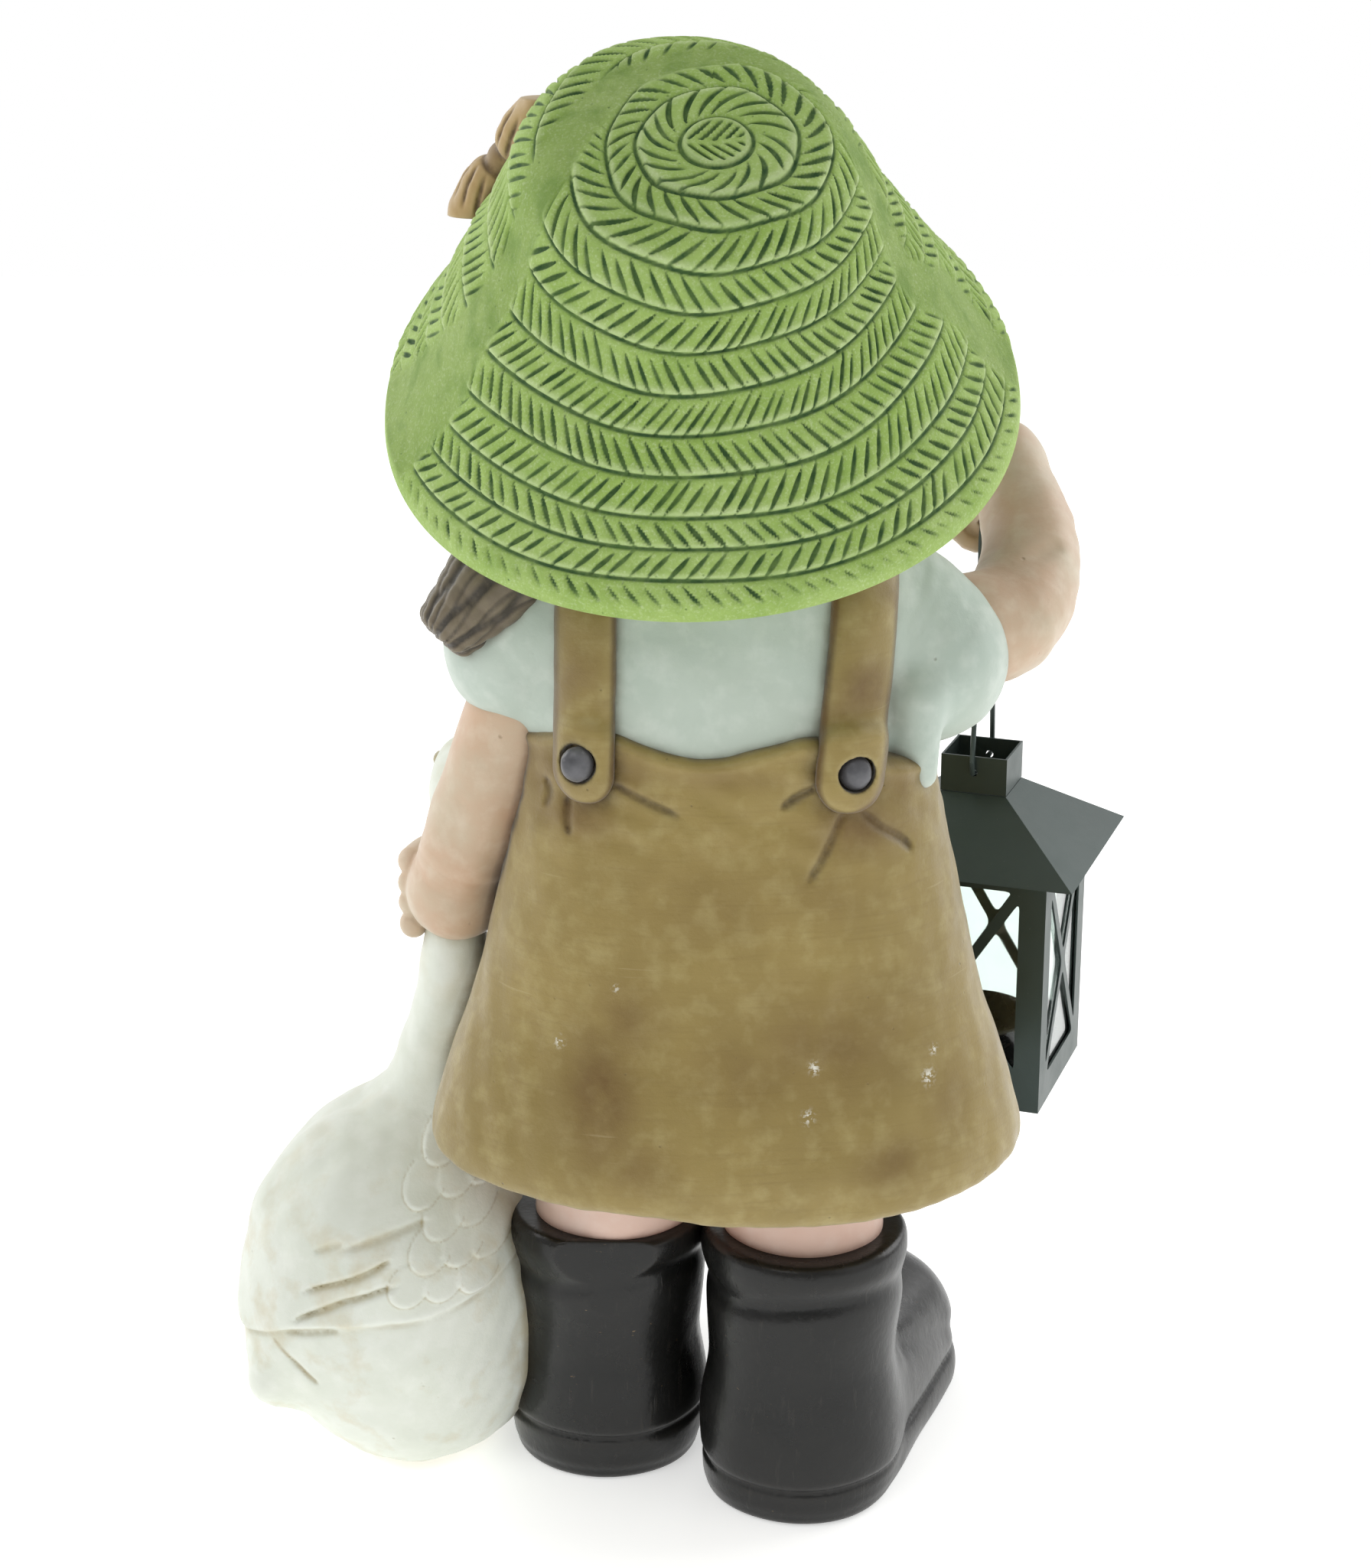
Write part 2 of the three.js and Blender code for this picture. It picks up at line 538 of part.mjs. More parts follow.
// ---- materials ----
const finish = (color, roughness, metalness = 0) =>
  new THREE.MeshStandardMaterial({ color, roughness, metalness });
const STRAW = [0x96be5c, 0.85];
const BOW = [0xaf9664, 0.8];
const HAIR = [0x5f5046, 0.75];
const SKIN = [0xe6c3a8, 0.7];
const SHIRT = [0xd7e4dc, 0.75];
const LEATHERY = [0xaa915a, 0.7];
const BUTTON = [0x4b4b4e, 0.4];
const BOOT = [0x302b29, 0.4];
const FEATHER = [0xe1e1d7, 0.8];
const BEAK = [0xd98f35, 0.6];
const BLACK_METAL = [0x323c3a, 0.4, 0.6];
const GLASS = [0xdfeeea, 0.05];

const figure = new THREE.Group();
const lantern = lanternPlace;
const bailGroup = new THREE.Group();
bailGroup.applyMatrix4(lanternPlace.matrix);

function place(group, name, solid, look) {
  const mesh = new THREE.Mesh(solid.isBufferGeometry ? solid : geometryOf(solid), finish(...look));
  mesh.name = name;
  group.add(mesh);
}

place(figure, "boot_left", bootLeft, BOOT);
place(figure, "boot_right", bootRight, BOOT);
place(figure, "leg_left", legLeft, SKIN);
place(figure, "leg_right", legRight, SKIN);
place(figure, "skirt", skirt, LEATHERY);
place(figure, "shirt", shirt, SHIRT);
place(figure, "strap_left", strapLeft, LEATHERY);
place(figure, "strap_right", strapRight, LEATHERY);
for (const [name, solid, side, back] of [
  ["strap_button_back_left", strapLeft, 1, 1],
  ["strap_button_back_right", strapRight, -1, 1],
  ["strap_button_front_left", strapLeft, 1, -1],
  ["strap_button_front_right", strapRight, -1, -1],
]) place(figure, name, strapButton(solid, side, back), BUTTON);
place(figure, "arm_left", armLeft, SKIN);
place(figure, "arm_right", armRight, SKIN);
place(figure, "head", head, SKIN);
place(figure, "hair", hair, HAIR);
place(figure, "pigtail_left", pigtailLeft, HAIR);
place(figure, "pigtail_right", pigtailRight, HAIR);
place(figure, "hat", hat, STRAW);
place(figure, "hat_bow", hatBow, BOW);
place(figure, "goose_body", gooseBody, FEATHER);
place(figure, "goose_head", gooseHead, FEATHER);
place(figure, "goose_beak", gooseBeak, BEAK);

place(bailGroup, "lantern_bail", bailGeometry(), BLACK_METAL);
place(lantern, "lantern_frame", lanternFrame(door), BLACK_METAL);
place(lantern, "lantern_base", lanternBase(), BLACK_METAL);
place(lantern, "lantern_roof", lanternRoof(), BLACK_METAL);
place(lantern, "lantern_chimney", lanternChimney(), BLACK_METAL);
place(lantern, "candle_cup", candleCup, BLACK_METAL);
place(lantern, "glass_back", backPane, GLASS);
place(lantern, "glass_left", turnedPane(-1), GLASS);
place(lantern, "glass_right", turnedPane(1), GLASS);
place(lantern, "lantern_door", door, BLACK_METAL);
place(lantern, "door_glass", glassPane(2 * doorHalf - 8, frontY + SHEET + GAP + GLASS_THICK / 2), GLASS);
place(lantern, "door_knob", fitted(doorKnob, door), BLACK_METAL);
place(lantern, "door_hinge_pin", hingePin, BLACK_METAL);

// The origin is on the ground in the middle of the object's plan.
const group = new THREE.Group();
group.add(figure, lantern, bailGroup);
const middle = new THREE.Box3().setFromObject(group).getCenter(vector(0, 0, 0));
group.position.set(-middle.x, -middle.y, 0);

export default group;
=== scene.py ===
import math

import bpy
import numpy as np
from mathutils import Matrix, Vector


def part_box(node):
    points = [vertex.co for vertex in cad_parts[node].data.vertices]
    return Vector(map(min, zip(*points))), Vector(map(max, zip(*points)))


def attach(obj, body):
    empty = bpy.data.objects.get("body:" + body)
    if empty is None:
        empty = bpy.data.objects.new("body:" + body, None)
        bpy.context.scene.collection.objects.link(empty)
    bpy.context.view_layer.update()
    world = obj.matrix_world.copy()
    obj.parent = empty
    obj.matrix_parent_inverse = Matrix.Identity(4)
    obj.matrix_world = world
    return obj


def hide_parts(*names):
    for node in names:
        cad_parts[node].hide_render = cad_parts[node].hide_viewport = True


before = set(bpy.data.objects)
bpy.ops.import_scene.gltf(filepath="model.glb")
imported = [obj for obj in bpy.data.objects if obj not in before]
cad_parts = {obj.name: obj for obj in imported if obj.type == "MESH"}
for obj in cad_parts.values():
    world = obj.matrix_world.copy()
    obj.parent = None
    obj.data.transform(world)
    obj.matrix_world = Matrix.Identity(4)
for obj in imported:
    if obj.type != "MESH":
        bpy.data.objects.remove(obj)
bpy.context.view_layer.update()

import openvdb as vdb
from mathutils import Matrix, Vector

MM = 0.001

# ---- where the figure stands: its own millimetre frame, as the CAD source uses it ----
LANTERN_AT = np.array([-108.5, -105.0, 132.0])
LANTERN_TURN = math.radians(-19.4)


def middle_of(node):
    low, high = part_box(node)
    return np.array((low + high) / 2) / MM


SHIFT = middle_of("lantern_base") - LANTERN_AT
SHIFT[2] = 0.0

# ---- driving dimensions, millimetres ----
CENTRE_X = 3.0
HAT_AT = np.array([9.0, -10.0, 450.0])
HAT_TILT = math.radians(34)
HAT_ROLL = math.radians(3)
HAT_RADIUS = 117.0
HAT_HEIGHT = 106.0
HAT_CROWN_SHIFT = (5.0, -11.0)
HAT_SIDE_DROOP = 12.0
CROWN_PINCH = 6.0
HAT_TOP_OUTLINE = ((0, 106), (24, 106), (45, 104.6), (58, 97), (67, 80), (76, 60), (90, 38), (104, 18), (116, 4))
HAT_UNDER_OUTLINE = ((117.4, -1), (116, -4), (111, -5), (96, 4), (66, 12), (0, 14))
BRAID_RINGS = (12.5, 28, 41, 56, 70, 84, 99, 113, 127, 141, 152, 163)
BRAID_MIDDLE = (-10.0, -3.0)
BRAID_END = 180.0
STROKE_PITCH = 6.4
# the plain seam across the hat: x and y in the hat's frame, and half its width
HAT_SEAM = (
    (122, 4, 20), (103, 20, 19), (88, 26, 14), (74, 23, 11), (61, 20, 9), (50, 8, 9), (38, -16, 9),
    (22, -38, 7), (2, -47, 6), (-20, -50, 6), (-45, -38, 6), (-62, -5, 6), (-75, 14, 7.5),
    (-88, 4, 9), (-100, -3, 16), (-118, -4, 10),
)
HEAD_AT = np.array([4.0, -20.0, 455.0])
HEAD_HALF = np.array([58.0, 57.0, 64.0])
HAIR_THICK = 8.0
BODY_DEPTH = 0.69
PLAN_POWER = 2.4
HEM_Z = 152.0
SKIRT_LEAN = np.array([5.5, 0, 0])
WAIST_Z = 326.0
STRAP_HALF = 11.0
STRAP_THICK = 6.0
STRAP_END_Z = 303.0
BOOT_HALF_WIDTH = 38.5
BOOT_TOE = 90.0
BOOT_HEIGHT = 114.0
GOOSE_AT = np.array([130.5, -32.0, 70.0])
GOOSE_HALF = np.array([61.5, 66.0, 73.0])
GOOSE_NECK_Z = 242.0
FIST_RIGHT_Z = 245.0

BACK_LIGHT, FRONT_LIGHT = 0.85, 0.33  # the studio's brightness behind the object and on the camera's side


# ---- numbers on arrays of points ----
def smoothstep(x, start, end):
    t = np.clip((x - start) / (end - start), 0, 1)
    return t * t * (3 - 2 * t)


def length(vectors):
    return np.sqrt((vectors * vectors).sum(-1))


def union(a, b, k=0.0):
    if k <= 0:
        return np.minimum(a, b)
    h = np.clip(0.5 + 0.5 * (b - a) / k, 0, 1)
    return b + (a - b) * h - k * h * (1 - h)


def common(a, b, k=0.0):
    return -union(-a, -b, k)


def less(a, b, k=0.0):
    return common(a, -b, k)


def curve(t, knots):
    """A smooth curve through (t, value) knots."""
    xs, ys = np.array(knots, float).T
    slopes = np.gradient(ys, xs)
    i = np.clip(np.searchsorted(xs, t) - 1, 0, len(xs) - 2)
    width = xs[i + 1] - xs[i]
    s = np.clip((t - xs[i]) / width, 0, 1)
    rise = ys[i + 1] - ys[i]
    a = slopes[i] * width - rise
    b = rise - slopes[i + 1] * width
    return ys[i] + s * rise + s * (1 - s) * ((1 - s) * a + s * b)


def path_through(points, count):
    points = np.array(points, float)
    t = np.linspace(0, len(points) - 1, count)
    knots = np.arange(len(points))
    return np.stack([curve(t, np.column_stack([knots, points[:, axis]])) for axis in range(points.shape[1])], 1)


def waves(p, size, seed, count=5):
    """Smooth random lumps about `size` mm across, from -1 to 1."""
    dice = np.random.default_rng(seed)
    total = np.zeros(len(p))
    for _ in range(count):
        direction = dice.normal(size=3)
        direction /= np.linalg.norm(direction)
        total += np.sin(p @ (direction * 2 * math.pi / (size * dice.uniform(0.8, 1.6))) + dice.uniform(0, 6.3))
    return total / count


def hashed(index, seed):
    """A repeatable random number from 0 to 1 for each whole number."""
    return np.modf(np.abs(np.sin(index * 12.9898 + seed * 78.233) * 43758.5453))[0]


# ---- distance shapes ----
def ellipsoid(p, at, half):
    q = (p - np.asarray(at, float)) / np.asarray(half, float)
    k0 = length(q)
    k1 = length(q / np.asarray(half, float)) + 1e-9
    return k0 * (k0 - 1) / k1


def limb(p, points, radii, count=12):
    """A round-ended limb along a smooth path, with its radius changing along it."""
    path = path_through(points, count)
    sizes = np.interp(np.linspace(0, 1, count), np.linspace(0, 1, len(radii)), radii)
    best = np.full(len(p), 1e3)
    for a, b, ra, rb in zip(path, path[1:], sizes, sizes[1:]):
        along = b - a
        t = np.clip((p - a) @ along / (along @ along), 0, 1)
        best = np.minimum(best, length(p - a - t[:, None] * along) - ra - (rb - ra) * t)
    return best


def line_distance(q, line, count=12):
    """Distance from points to a smooth line, and how far along it (0 to 1) the nearest place is."""
    path = path_through(line, count)
    best = np.full(len(q), 1e3)
    place = np.zeros(len(q))
    for i, (a, b) in enumerate(zip(path, path[1:])):
        along = b - a
        t = np.clip((q - a) @ along / (along @ along), 0, 1)
        d = length(q - a - t[:, None] * along)
        nearer = d < best
        best = np.where(nearer, d, best)
        place = np.where(nearer, (i + t) / (count - 1), place)
    return best, place


def crease(p, line, width):
    """1 on a line seen along Y (x and z given), falling to 0 beside it and at its ends."""
    d, place = line_distance(p[:, [0, 2]], line)
    taper = np.sqrt(np.clip(4 * place * (1 - place), 0.02, 1))
    return np.exp(-((d / (width * (0.4 + 0.6 * taper))) ** 2)) * np.clip(taper * 1.4, 0, 1)


def plan_radius(p):
    """Half width of the body-shaped plan curve that passes through each point."""
    x = np.abs(p[:, 0] - CENTRE_X)
    y = np.abs(p[:, 1]) / BODY_DEPTH
    return (x ** PLAN_POWER + y ** PLAN_POWER + 1e-6) ** (1 / PLAN_POWER)


# ---- meshes ----
def surface(shape, low, high, voxel):
    """Points and quads of the zero surface of `shape`, worked out finely only near that surface."""
    low = np.asarray(low, float)
    block = 4
    blocks = np.ceil((np.asarray(high, float) - low) / (block * voxel)).astype(int)
    index = np.stack(np.meshgrid(*[np.arange(n) for n in blocks], indexing="ij"), -1).reshape(-1, 3)
    centres = low + (index * block + (block - 1) / 2) * voxel
    rough = shape(centres)
    near = np.abs(rough) < 5.5 * voxel + 4.0
    inside = np.arange(block) - (block - 1) / 2
    offsets = np.stack(np.meshgrid(inside, inside, inside, indexing="ij"), -1).reshape(-1, 3) * voxel
    fine = (centres[near][:, None, :] + offsets).reshape(-1, 3)
    values = np.repeat(np.where(rough < 0, -3.0, 3.0)[:, None], block ** 3, 1)
    values[near] = np.clip(shape(fine) / voxel, -3, 3).reshape(-1, block ** 3)
    cells = values.reshape(*blocks, block, block, block).transpose(0, 3, 1, 4, 2, 5)
    grid = vdb.FloatGrid(3.0)
    grid.copyFromArray(np.ascontiguousarray(cells.reshape(*(blocks * block)), dtype=np.float32))
    points, quads = grid.convertToQuads(isovalue=0.0)
    return np.asarray(points, float) * voxel + low, np.asarray(quads, int)


def signed_volume(points, faces):
    a, b, c = (points[faces[:, i]] for i in (0, 1, 2))
    volume = (a * np.cross(b, c)).sum()
    if faces.shape[1] == 4:
        volume += (a * np.cross(c, points[faces[:, 3]])).sum()
    return volume


def mesh_object(name, points, faces, marks=None):
    """A smooth mesh from figure millimetres and rows of corners, with extra numbers stored per point."""
    data = bpy.data.meshes.new(name)
    data.from_pydata(((points + SHIFT) * MM).tolist(), [], faces if isinstance(faces, list) else faces.tolist())
    data.shade_smooth()
    for label, numbers in (marks or {}).items():
        layer = data.attributes.new(label, "FLOAT", "POINT")
        layer.data.foreach_set("value", np.asarray(numbers, np.float32))
    piece = bpy.data.objects.new(name, data)
    bpy.context.scene.collection.objects.link(piece)
    return piece


def sculpt(name, shape, low, high, voxel=1.0, marks=None):
    """A piece from a distance shape. `marks` gives named numbers for its points, such as painted shade in a groove."""
    points, quads = surface(shape, low, high, voxel)
    if signed_volume(points, quads) < 0:
        quads = quads[:, ::-1]
    return mesh_object(name, points, quads, marks(points) if marks else None)


def dress(piece, material, nodes, body="figure"):
    piece.data.materials.clear()
    piece.data.materials.append(material)
    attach(piece, body)
    if nodes:
        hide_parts(*nodes)
    return piece


# ---- materials ----
class Look:
    """Builds one procedural material node by node."""

    def __init__(self, name):
        self.material = bpy.data.materials.new(name)
        self.material.use_nodes = True
        self.tree = self.material.node_tree
        self.shader = self.tree.nodes["Principled BSDF"]
        self.place = self.node("ShaderNodeTexCoord").outputs["Object"]

    def node(self, kind, **settings):
        made = self.tree.nodes.new(kind)
        for key, value in settings.items():
            setattr(made, key, value)
        return made

    def put(self, socket, value):
        if isinstance(value, bpy.types.NodeSocket):
            self.tree.links.new(value, socket)
        else:
            socket.default_value = value

    def scaled(self, stretch):
        mapping = self.node("ShaderNodeMapping")
        self.put(mapping.inputs["Vector"], self.place)
        mapping.inputs["Scale"].default_value = stretch
        return mapping.outputs["Vector"]

    def noise(self, size, detail=3.0, rough=0.55, stretch=(1, 1, 1)):
        """Noise with features about `size` mm across."""
        made = self.node("ShaderNodeTexNoise")
        self.put(made.inputs["Vector"], self.scaled(stretch))
        made.inputs["Scale"].default_value = 1000 / size
        made.inputs["Detail"].default_value = detail
        made.inputs["Roughness"].default_value = rough
        return made.outputs["Fac"]

    def cells(self, size, stretch=(1, 1, 1)):
        made = self.node("ShaderNodeTexVoronoi")
        self.put(made.inputs["Vector"], self.scaled(stretch))
        made.inputs["Scale"].default_value = 1000 / size
        return made.outputs["Distance"]

    def band(self, value, start, end, low=0.0, high=1.0):
        """`value` mapped from start..end to low..high."""
        made = self.node("ShaderNodeMapRange", clamp=True)
        for key, number in zip(("Value", "From Min", "From Max", "To Min", "To Max"), (value, start, end, low, high)):
            self.put(made.inputs[key], number)
        return made.outputs["Result"]

    def sum(self, operation, a, b):
        made = self.node("ShaderNodeMath", operation=operation, use_clamp=True)
        self.put(made.inputs[0], a)
        self.put(made.inputs[1], b)
        return made.outputs["Value"]

    def mix(self, share, a, b):
        made = self.node("ShaderNodeMix", data_type="RGBA")
        self.put(made.inputs["Factor"], share)
        for socket, colour in ((made.inputs[6], a), (made.inputs[7], b)):
            self.put(socket, colour if isinstance(colour, bpy.types.NodeSocket) else rgb(colour))
        return made.outputs[2]

    def mark(self, label):
        return self.node("ShaderNodeAttribute", attribute_name=label).outputs["Fac"]

    def corner_shade_and_dirt(self, reach):
        """1 deep in the corner between pieces, 0 in the open: painted shade from ambient occlusion, standing also for
        some dirt.
        """
        made = self.node("ShaderNodeAmbientOcclusion", samples=6)
        made.inputs["Distance"].default_value = reach * MM
        return self.band(made.outputs["AO"], 0.45, 0.97, 1.0, 0.0)

    def edges(self):
        """1 on raised edges."""
        return self.band(self.node("ShaderNodeNewGeometry").outputs["Pointiness"], 0.5, 0.56)

    def bump(self, layers):
        """`layers` lists (height, distance in mm)."""
        normal = None
        for height, distance in layers:
            made = self.node("ShaderNodeBump")
            made.inputs["Strength"].default_value = 1.0
            made.inputs["Distance"].default_value = distance * MM
            self.put(made.inputs["Height"], height)
            if normal:
                self.put(made.inputs["Normal"], normal)
            normal = made.outputs["Normal"]
        self.put(self.shader.inputs["Normal"], normal)

    def finish(self, colour, roughness, **extra):
        self.put(self.shader.inputs["Base Color"], colour)
        self.put(self.shader.inputs["Roughness"], roughness)
        for key, value in extra.items():
            self.put(self.shader.inputs[key.replace("_", " ")], value)
        return self.material


def rgb(code):
    """A colour for the shader from a 0xRRGGBB code."""
    parts = [((code >> shift) & 255) / 255 for shift in (16, 8, 0)]
    return tuple(((v + 0.055) / 1.055) ** 2.4 if v > 0.04 else v / 12.92 for v in parts) + (1.0,)


def straw_paint():
    look = Look("straw_green")
    groove = look.mark("groove")
    plain = look.mark("plain")
    grain = look.noise(1.1, 4, 0.7)
    patches = look.noise(38, 4)
    colour = look.mix(look.band(patches, 0.35, 0.65), 0x9ABA58, 0xAAC66E)
    colour = look.mix(look.sum("MULTIPLY", look.band(grain, 0.5, 0.68), 0.55), colour, 0xD2E2B2)
    colour = look.mix(look.sum("MULTIPLY", look.band(look.noise(6, 3), 0.5, 0.7), 0.35), colour, 0x88A848)
    # painted highlight along the raised lower edge of each braid band
    colour = look.mix(look.sum("MULTIPLY", look.mark("ridge"), 0.6), colour, 0xD8E6B8)
    # painted shade in the braid's cuts and in the grooves between its bands, stronger in some places than others
    shade_patchiness = look.band(look.noise(7, 4, 0.6), 0.3, 0.6, 0.65, 1.0)
    colour = look.mix(look.sum("MULTIPLY", look.band(groove, 0.2, 0.6), shade_patchiness), colour, 0x35592B)
    pits = look.band(look.cells(5.2), 0.0, 0.1, 1.0, 0.0)
    colour = look.mix(look.sum("MULTIPLY", pits, 0.7), colour, 0x4F7A3C)
    coarse = look.sum("MULTIPLY", look.noise(0.9, 4, 0.8), look.band(plain, 0, 1, 0.35, 1.0))
    shade = look.sum("MULTIPLY", look.band(look.noise(15, 4, 0.6), 0.5, 0.68), look.band(plain, 0, 1, 0.25, 0.7))
    colour = look.mix(shade, colour, 0x7FA347)
    look.bump([(look.noise(5, 3), 0.7), (coarse, 1.0), (pits, -0.4)])
    return look.finish(colour, look.band(grain, 0.3, 0.7, 0.62, 0.85))


def cast_paint(name, base, second, dark, light, options=None):
    """Matt paint on a cast body: two tones in soft patches, painted shade with some dirt in the corners and grooves,
    and lighter worn edges.
    """
    # the two settings after patch give the reach in mm and the strength of the painted corner shade, which stands also
    # for some dirt
    settings = dict(patch=45, shade_and_dirt=4.0, shade_and_dirt_share=0.8, rough=(0.5, 0.7), grain=0.16, pits=6.5, pit_share=0.6, lump=0.35)
    settings.update(options or {})
    look = Look(name)
    soft = look.noise(settings["patch"], 5, 0.6)
    colour = look.mix(look.band(soft, 0.36, 0.64), base, second)
    colour = look.mix(look.sum("MULTIPLY", look.band(look.noise(9, 4), 0.48, 0.72), 0.3), colour, light)
    colour = look.mix(look.sum("MULTIPLY", look.edges(), 0.35), colour, light)
    # painted shade: the colour goes towards the dark tone in corners between pieces and in grooves, broken up by noise
    shade_and_dirt = look.sum("MULTIPLY", look.corner_shade_and_dirt(settings["shade_and_dirt"]), settings["shade_and_dirt_share"])
    shade_and_dirt = look.sum("ADD", shade_and_dirt, look.band(look.mark("groove"), 0.1, 0.9, 0.0, 0.85))
    shade_and_dirt = look.sum("MULTIPLY", shade_and_dirt, look.band(look.noise(3.5, 4), 0.25, 0.55, 0.55, 1.0))
    colour = look.mix(shade_and_dirt, colour, dark)
    pits = look.band(look.cells(settings["pits"]), 0.0, 0.075, 1.0, 0.0)
    pits = look.sum("MULTIPLY", pits, look.band(look.noise(17), 0.5, 0.6))
    colour = look.mix(look.sum("MULTIPLY", pits, settings["pit_share"]), colour, dark)
    look.bump([
        (look.noise(14, 3), settings["lump"]),
        (look.noise(1.3, 4, 0.7), settings["grain"]),
        (pits, -0.4),
    ])
    return look, colour, settings["rough"]


def finished(look, colour, rough, **extra):
    chalk = dict(Sheen_Weight=0.3, Sheen_Roughness=0.45)
    return look.finish(colour, look.band(look.noise(8, 4), 0.3, 0.7, *rough), **chalk, **extra)


def tan_paint():
    look, colour, rough = cast_paint(
        "tan_leather_paint", 0x8E7A40, 0x9C874A, 0x3C3019, 0xC4B67F,
        dict(patch=60, shade_and_dirt=7, shade_and_dirt_share=0.95, rough=(0.38, 0.56), grain=0.16, pits=8),
    )
    # stains darken the tan; part of them is painted shade around the straps and under the waistband
    stains_and_shade = look.sum("MULTIPLY", look.mark("stain_and_shade"), look.band(look.noise(13, 4), 0.25, 0.6, 0.5, 1.0))
    colour = look.mix(stains_and_shade, colour, 0x6B4F1E)
    brushed = look.band(look.noise(1.5, 3, 0.6, (0.06, 0.06, 1.0)), 0.52, 0.72)
    colour = look.mix(look.sum("MULTIPLY", brushed, 0.22), colour, 0x7C6632)
    scrapes = look.band(look.noise(2.2, 2, 0.5, (0.05, 0.05, 1.3)), 0.72, 0.78)
    colour = look.mix(look.sum("MULTIPLY", scrapes, 0.15), colour, 0xD8C9A0)
    specks = look.sum("MULTIPLY", look.mark("speck"), look.band(look.noise(1.4, 3), 0.5, 0.56))
    colour = look.mix(specks, colour, 0xF0EEE2)
    return finished(look, colour, rough)


def shirt_paint():
    return finished(*cast_paint(
        "shirt_white", 0xC5D1C5, 0xB9C8BC, 0x77725C, 0xE4EBE2,
        dict(patch=55, shade_and_dirt=3.5, shade_and_dirt_share=0.55, rough=(0.5, 0.68), grain=0.08, pits=11, pit_share=0.7),
    ))


def skin_paint(name, base, second, light, dark=0x9A6F50):
    return finished(*cast_paint(
        name, base, second, dark, light,
        dict(patch=40, shade_and_dirt=3.5, shade_and_dirt_share=0.55, rough=(0.42, 0.58), grain=0.06, pits=13, pit_share=0.45),
    ))


def hair_paint():
    look, colour, rough = cast_paint(
        "hair_brown", 0x6F6350, 0x5F5343, 0x2F2920, 0x94886C,
        dict(patch=22, shade_and_dirt=4, shade_and_dirt_share=0.8, rough=(0.45, 0.65), grain=0.15, pits=7),
    )
    return finished(look, colour, rough)


def goose_paint():
    look, colour, rough = cast_paint(
        "goose_white", 0xE9EDE2, 0xDFE4D6, 0xA39469, 0xF7F9F2,
        dict(patch=48, shade_and_dirt=5, shade_and_dirt_share=0.65, rough=(0.5, 0.7), grain=0.1, pits=9, pit_share=0.5),
    )
    # a yellow-brown tint that grows towards the bottom of the goose
    lower_tint = look.sum("MULTIPLY", look.band(look.noise(20, 5), 0.52, 0.7), look.mark("lower_tint"))
    colour = look.mix(look.sum("MULTIPLY", lower_tint, 0.45), colour, 0xC9B88A)
    return finished(look, colour, rough)


def boot_paint():
    look = Look("boot_black")
    soft = look.noise(32, 5, 0.6)
    colour = look.mix(look.band(soft, 0.35, 0.65), 0x111211, 0x1B1B1A)
    scuffs = look.band(look.noise(2.5, 3, 0.6, (1, 1, 0.12)), 0.6, 0.74)
    colour = look.mix(look.sum("MULTIPLY", scuffs, 0.3), colour, 0x3E3A35)
    scratches = look.sum(
        "MULTIPLY", look.band(look.noise(1.2, 2, 0.5, (0.25, 1, 1)), 0.72, 0.78), look.band(look.noise(24), 0.55, 0.6))
    colour = look.mix(look.sum("MULTIPLY", scratches, 0.7), colour, 0x8E7452)
    colour = look.mix(look.sum("MULTIPLY", look.edges(), 0.3), colour, 0x55504A)
    # painted shade with some dirt: darker in corners between pieces, in the sole's ledge and in the crease below the
    # rim
    shade_and_dirt = look.sum("MULTIPLY", look.corner_shade_and_dirt(3.5), 0.6)
    colour = look.mix(look.sum("ADD", shade_and_dirt, look.band(look.mark("groove"), 0.3, 1, 0, 0.5)), colour, 0x15110F)
    look.bump([(look.noise(16, 3), 0.5), (look.noise(1.6, 4), 0.07), (scuffs, 0.05)])
    return look.finish(colour, look.band(soft, 0.3, 0.7, 0.22, 0.36), Specular_IOR_Level=0.4)


def bow_paint():
    return finished(*cast_paint(
        "bow_tan", 0xB79A66, 0xA98A55, 0x5A4424, 0xD6C095,
        dict(patch=18, shade_and_dirt=4, shade_and_dirt_share=0.8, rough=(0.5, 0.7), grain=0.1),
    ))


def button_paint():
    look, colour, rough = cast_paint(
        "button_grey", 0x47474B, 0x56565A, 0x1E1B1A, 0x85858A,
        dict(patch=6, shade_and_dirt=2, shade_and_dirt_share=0.5, rough=(0.3, 0.45), grain=0.05, lump=0.1),
    )
    return finished(look, colour, rough)


def beak_paint():
    return finished(*cast_paint(
        "beak_orange", 0xD9933F, 0xC97F2E, 0x6B4018, 0xEDB878,
        dict(patch=12, shade_and_dirt=2.5, rough=(0.45, 0.6), grain=0.06),
    ))


def lantern_paint():
    look = Look("lantern_black_metal")
    soft = look.noise(26, 4)
    colour = look.mix(look.band(soft, 0.35, 0.65), 0x1C2422, 0x27302E)
    chips = look.sum(
        "MULTIPLY", look.band(look.noise(1.6, 3, 0.6), 0.7, 0.74), look.band(look.noise(15), 0.55, 0.6))
    colour = look.mix(look.sum("MULTIPLY", chips, 0.6), colour, 0x8C9390)
    colour = look.mix(look.sum("MULTIPLY", look.edges(), 0.5), colour, 0x55635F)
    look.bump([(look.noise(1.0, 3, 0.6), 0.03), (look.noise(9, 2), 0.15)])
    return look.finish(colour, look.band(soft, 0.3, 0.7, 0.34, 0.46), Metallic=0.55)


def dish_paint():
    look = Look("dish_burnt_metal")
    soft = look.noise(9, 4)
    colour = look.mix(look.band(soft, 0.4, 0.65), 0x1E1A18, 0x3A322C)
    look.bump([(look.noise(5, 3), 0.2), (look.noise(0.9, 3), 0.03)])
    return look.finish(colour, look.band(soft, 0.3, 0.7, 0.18, 0.35), Metallic=0.6)


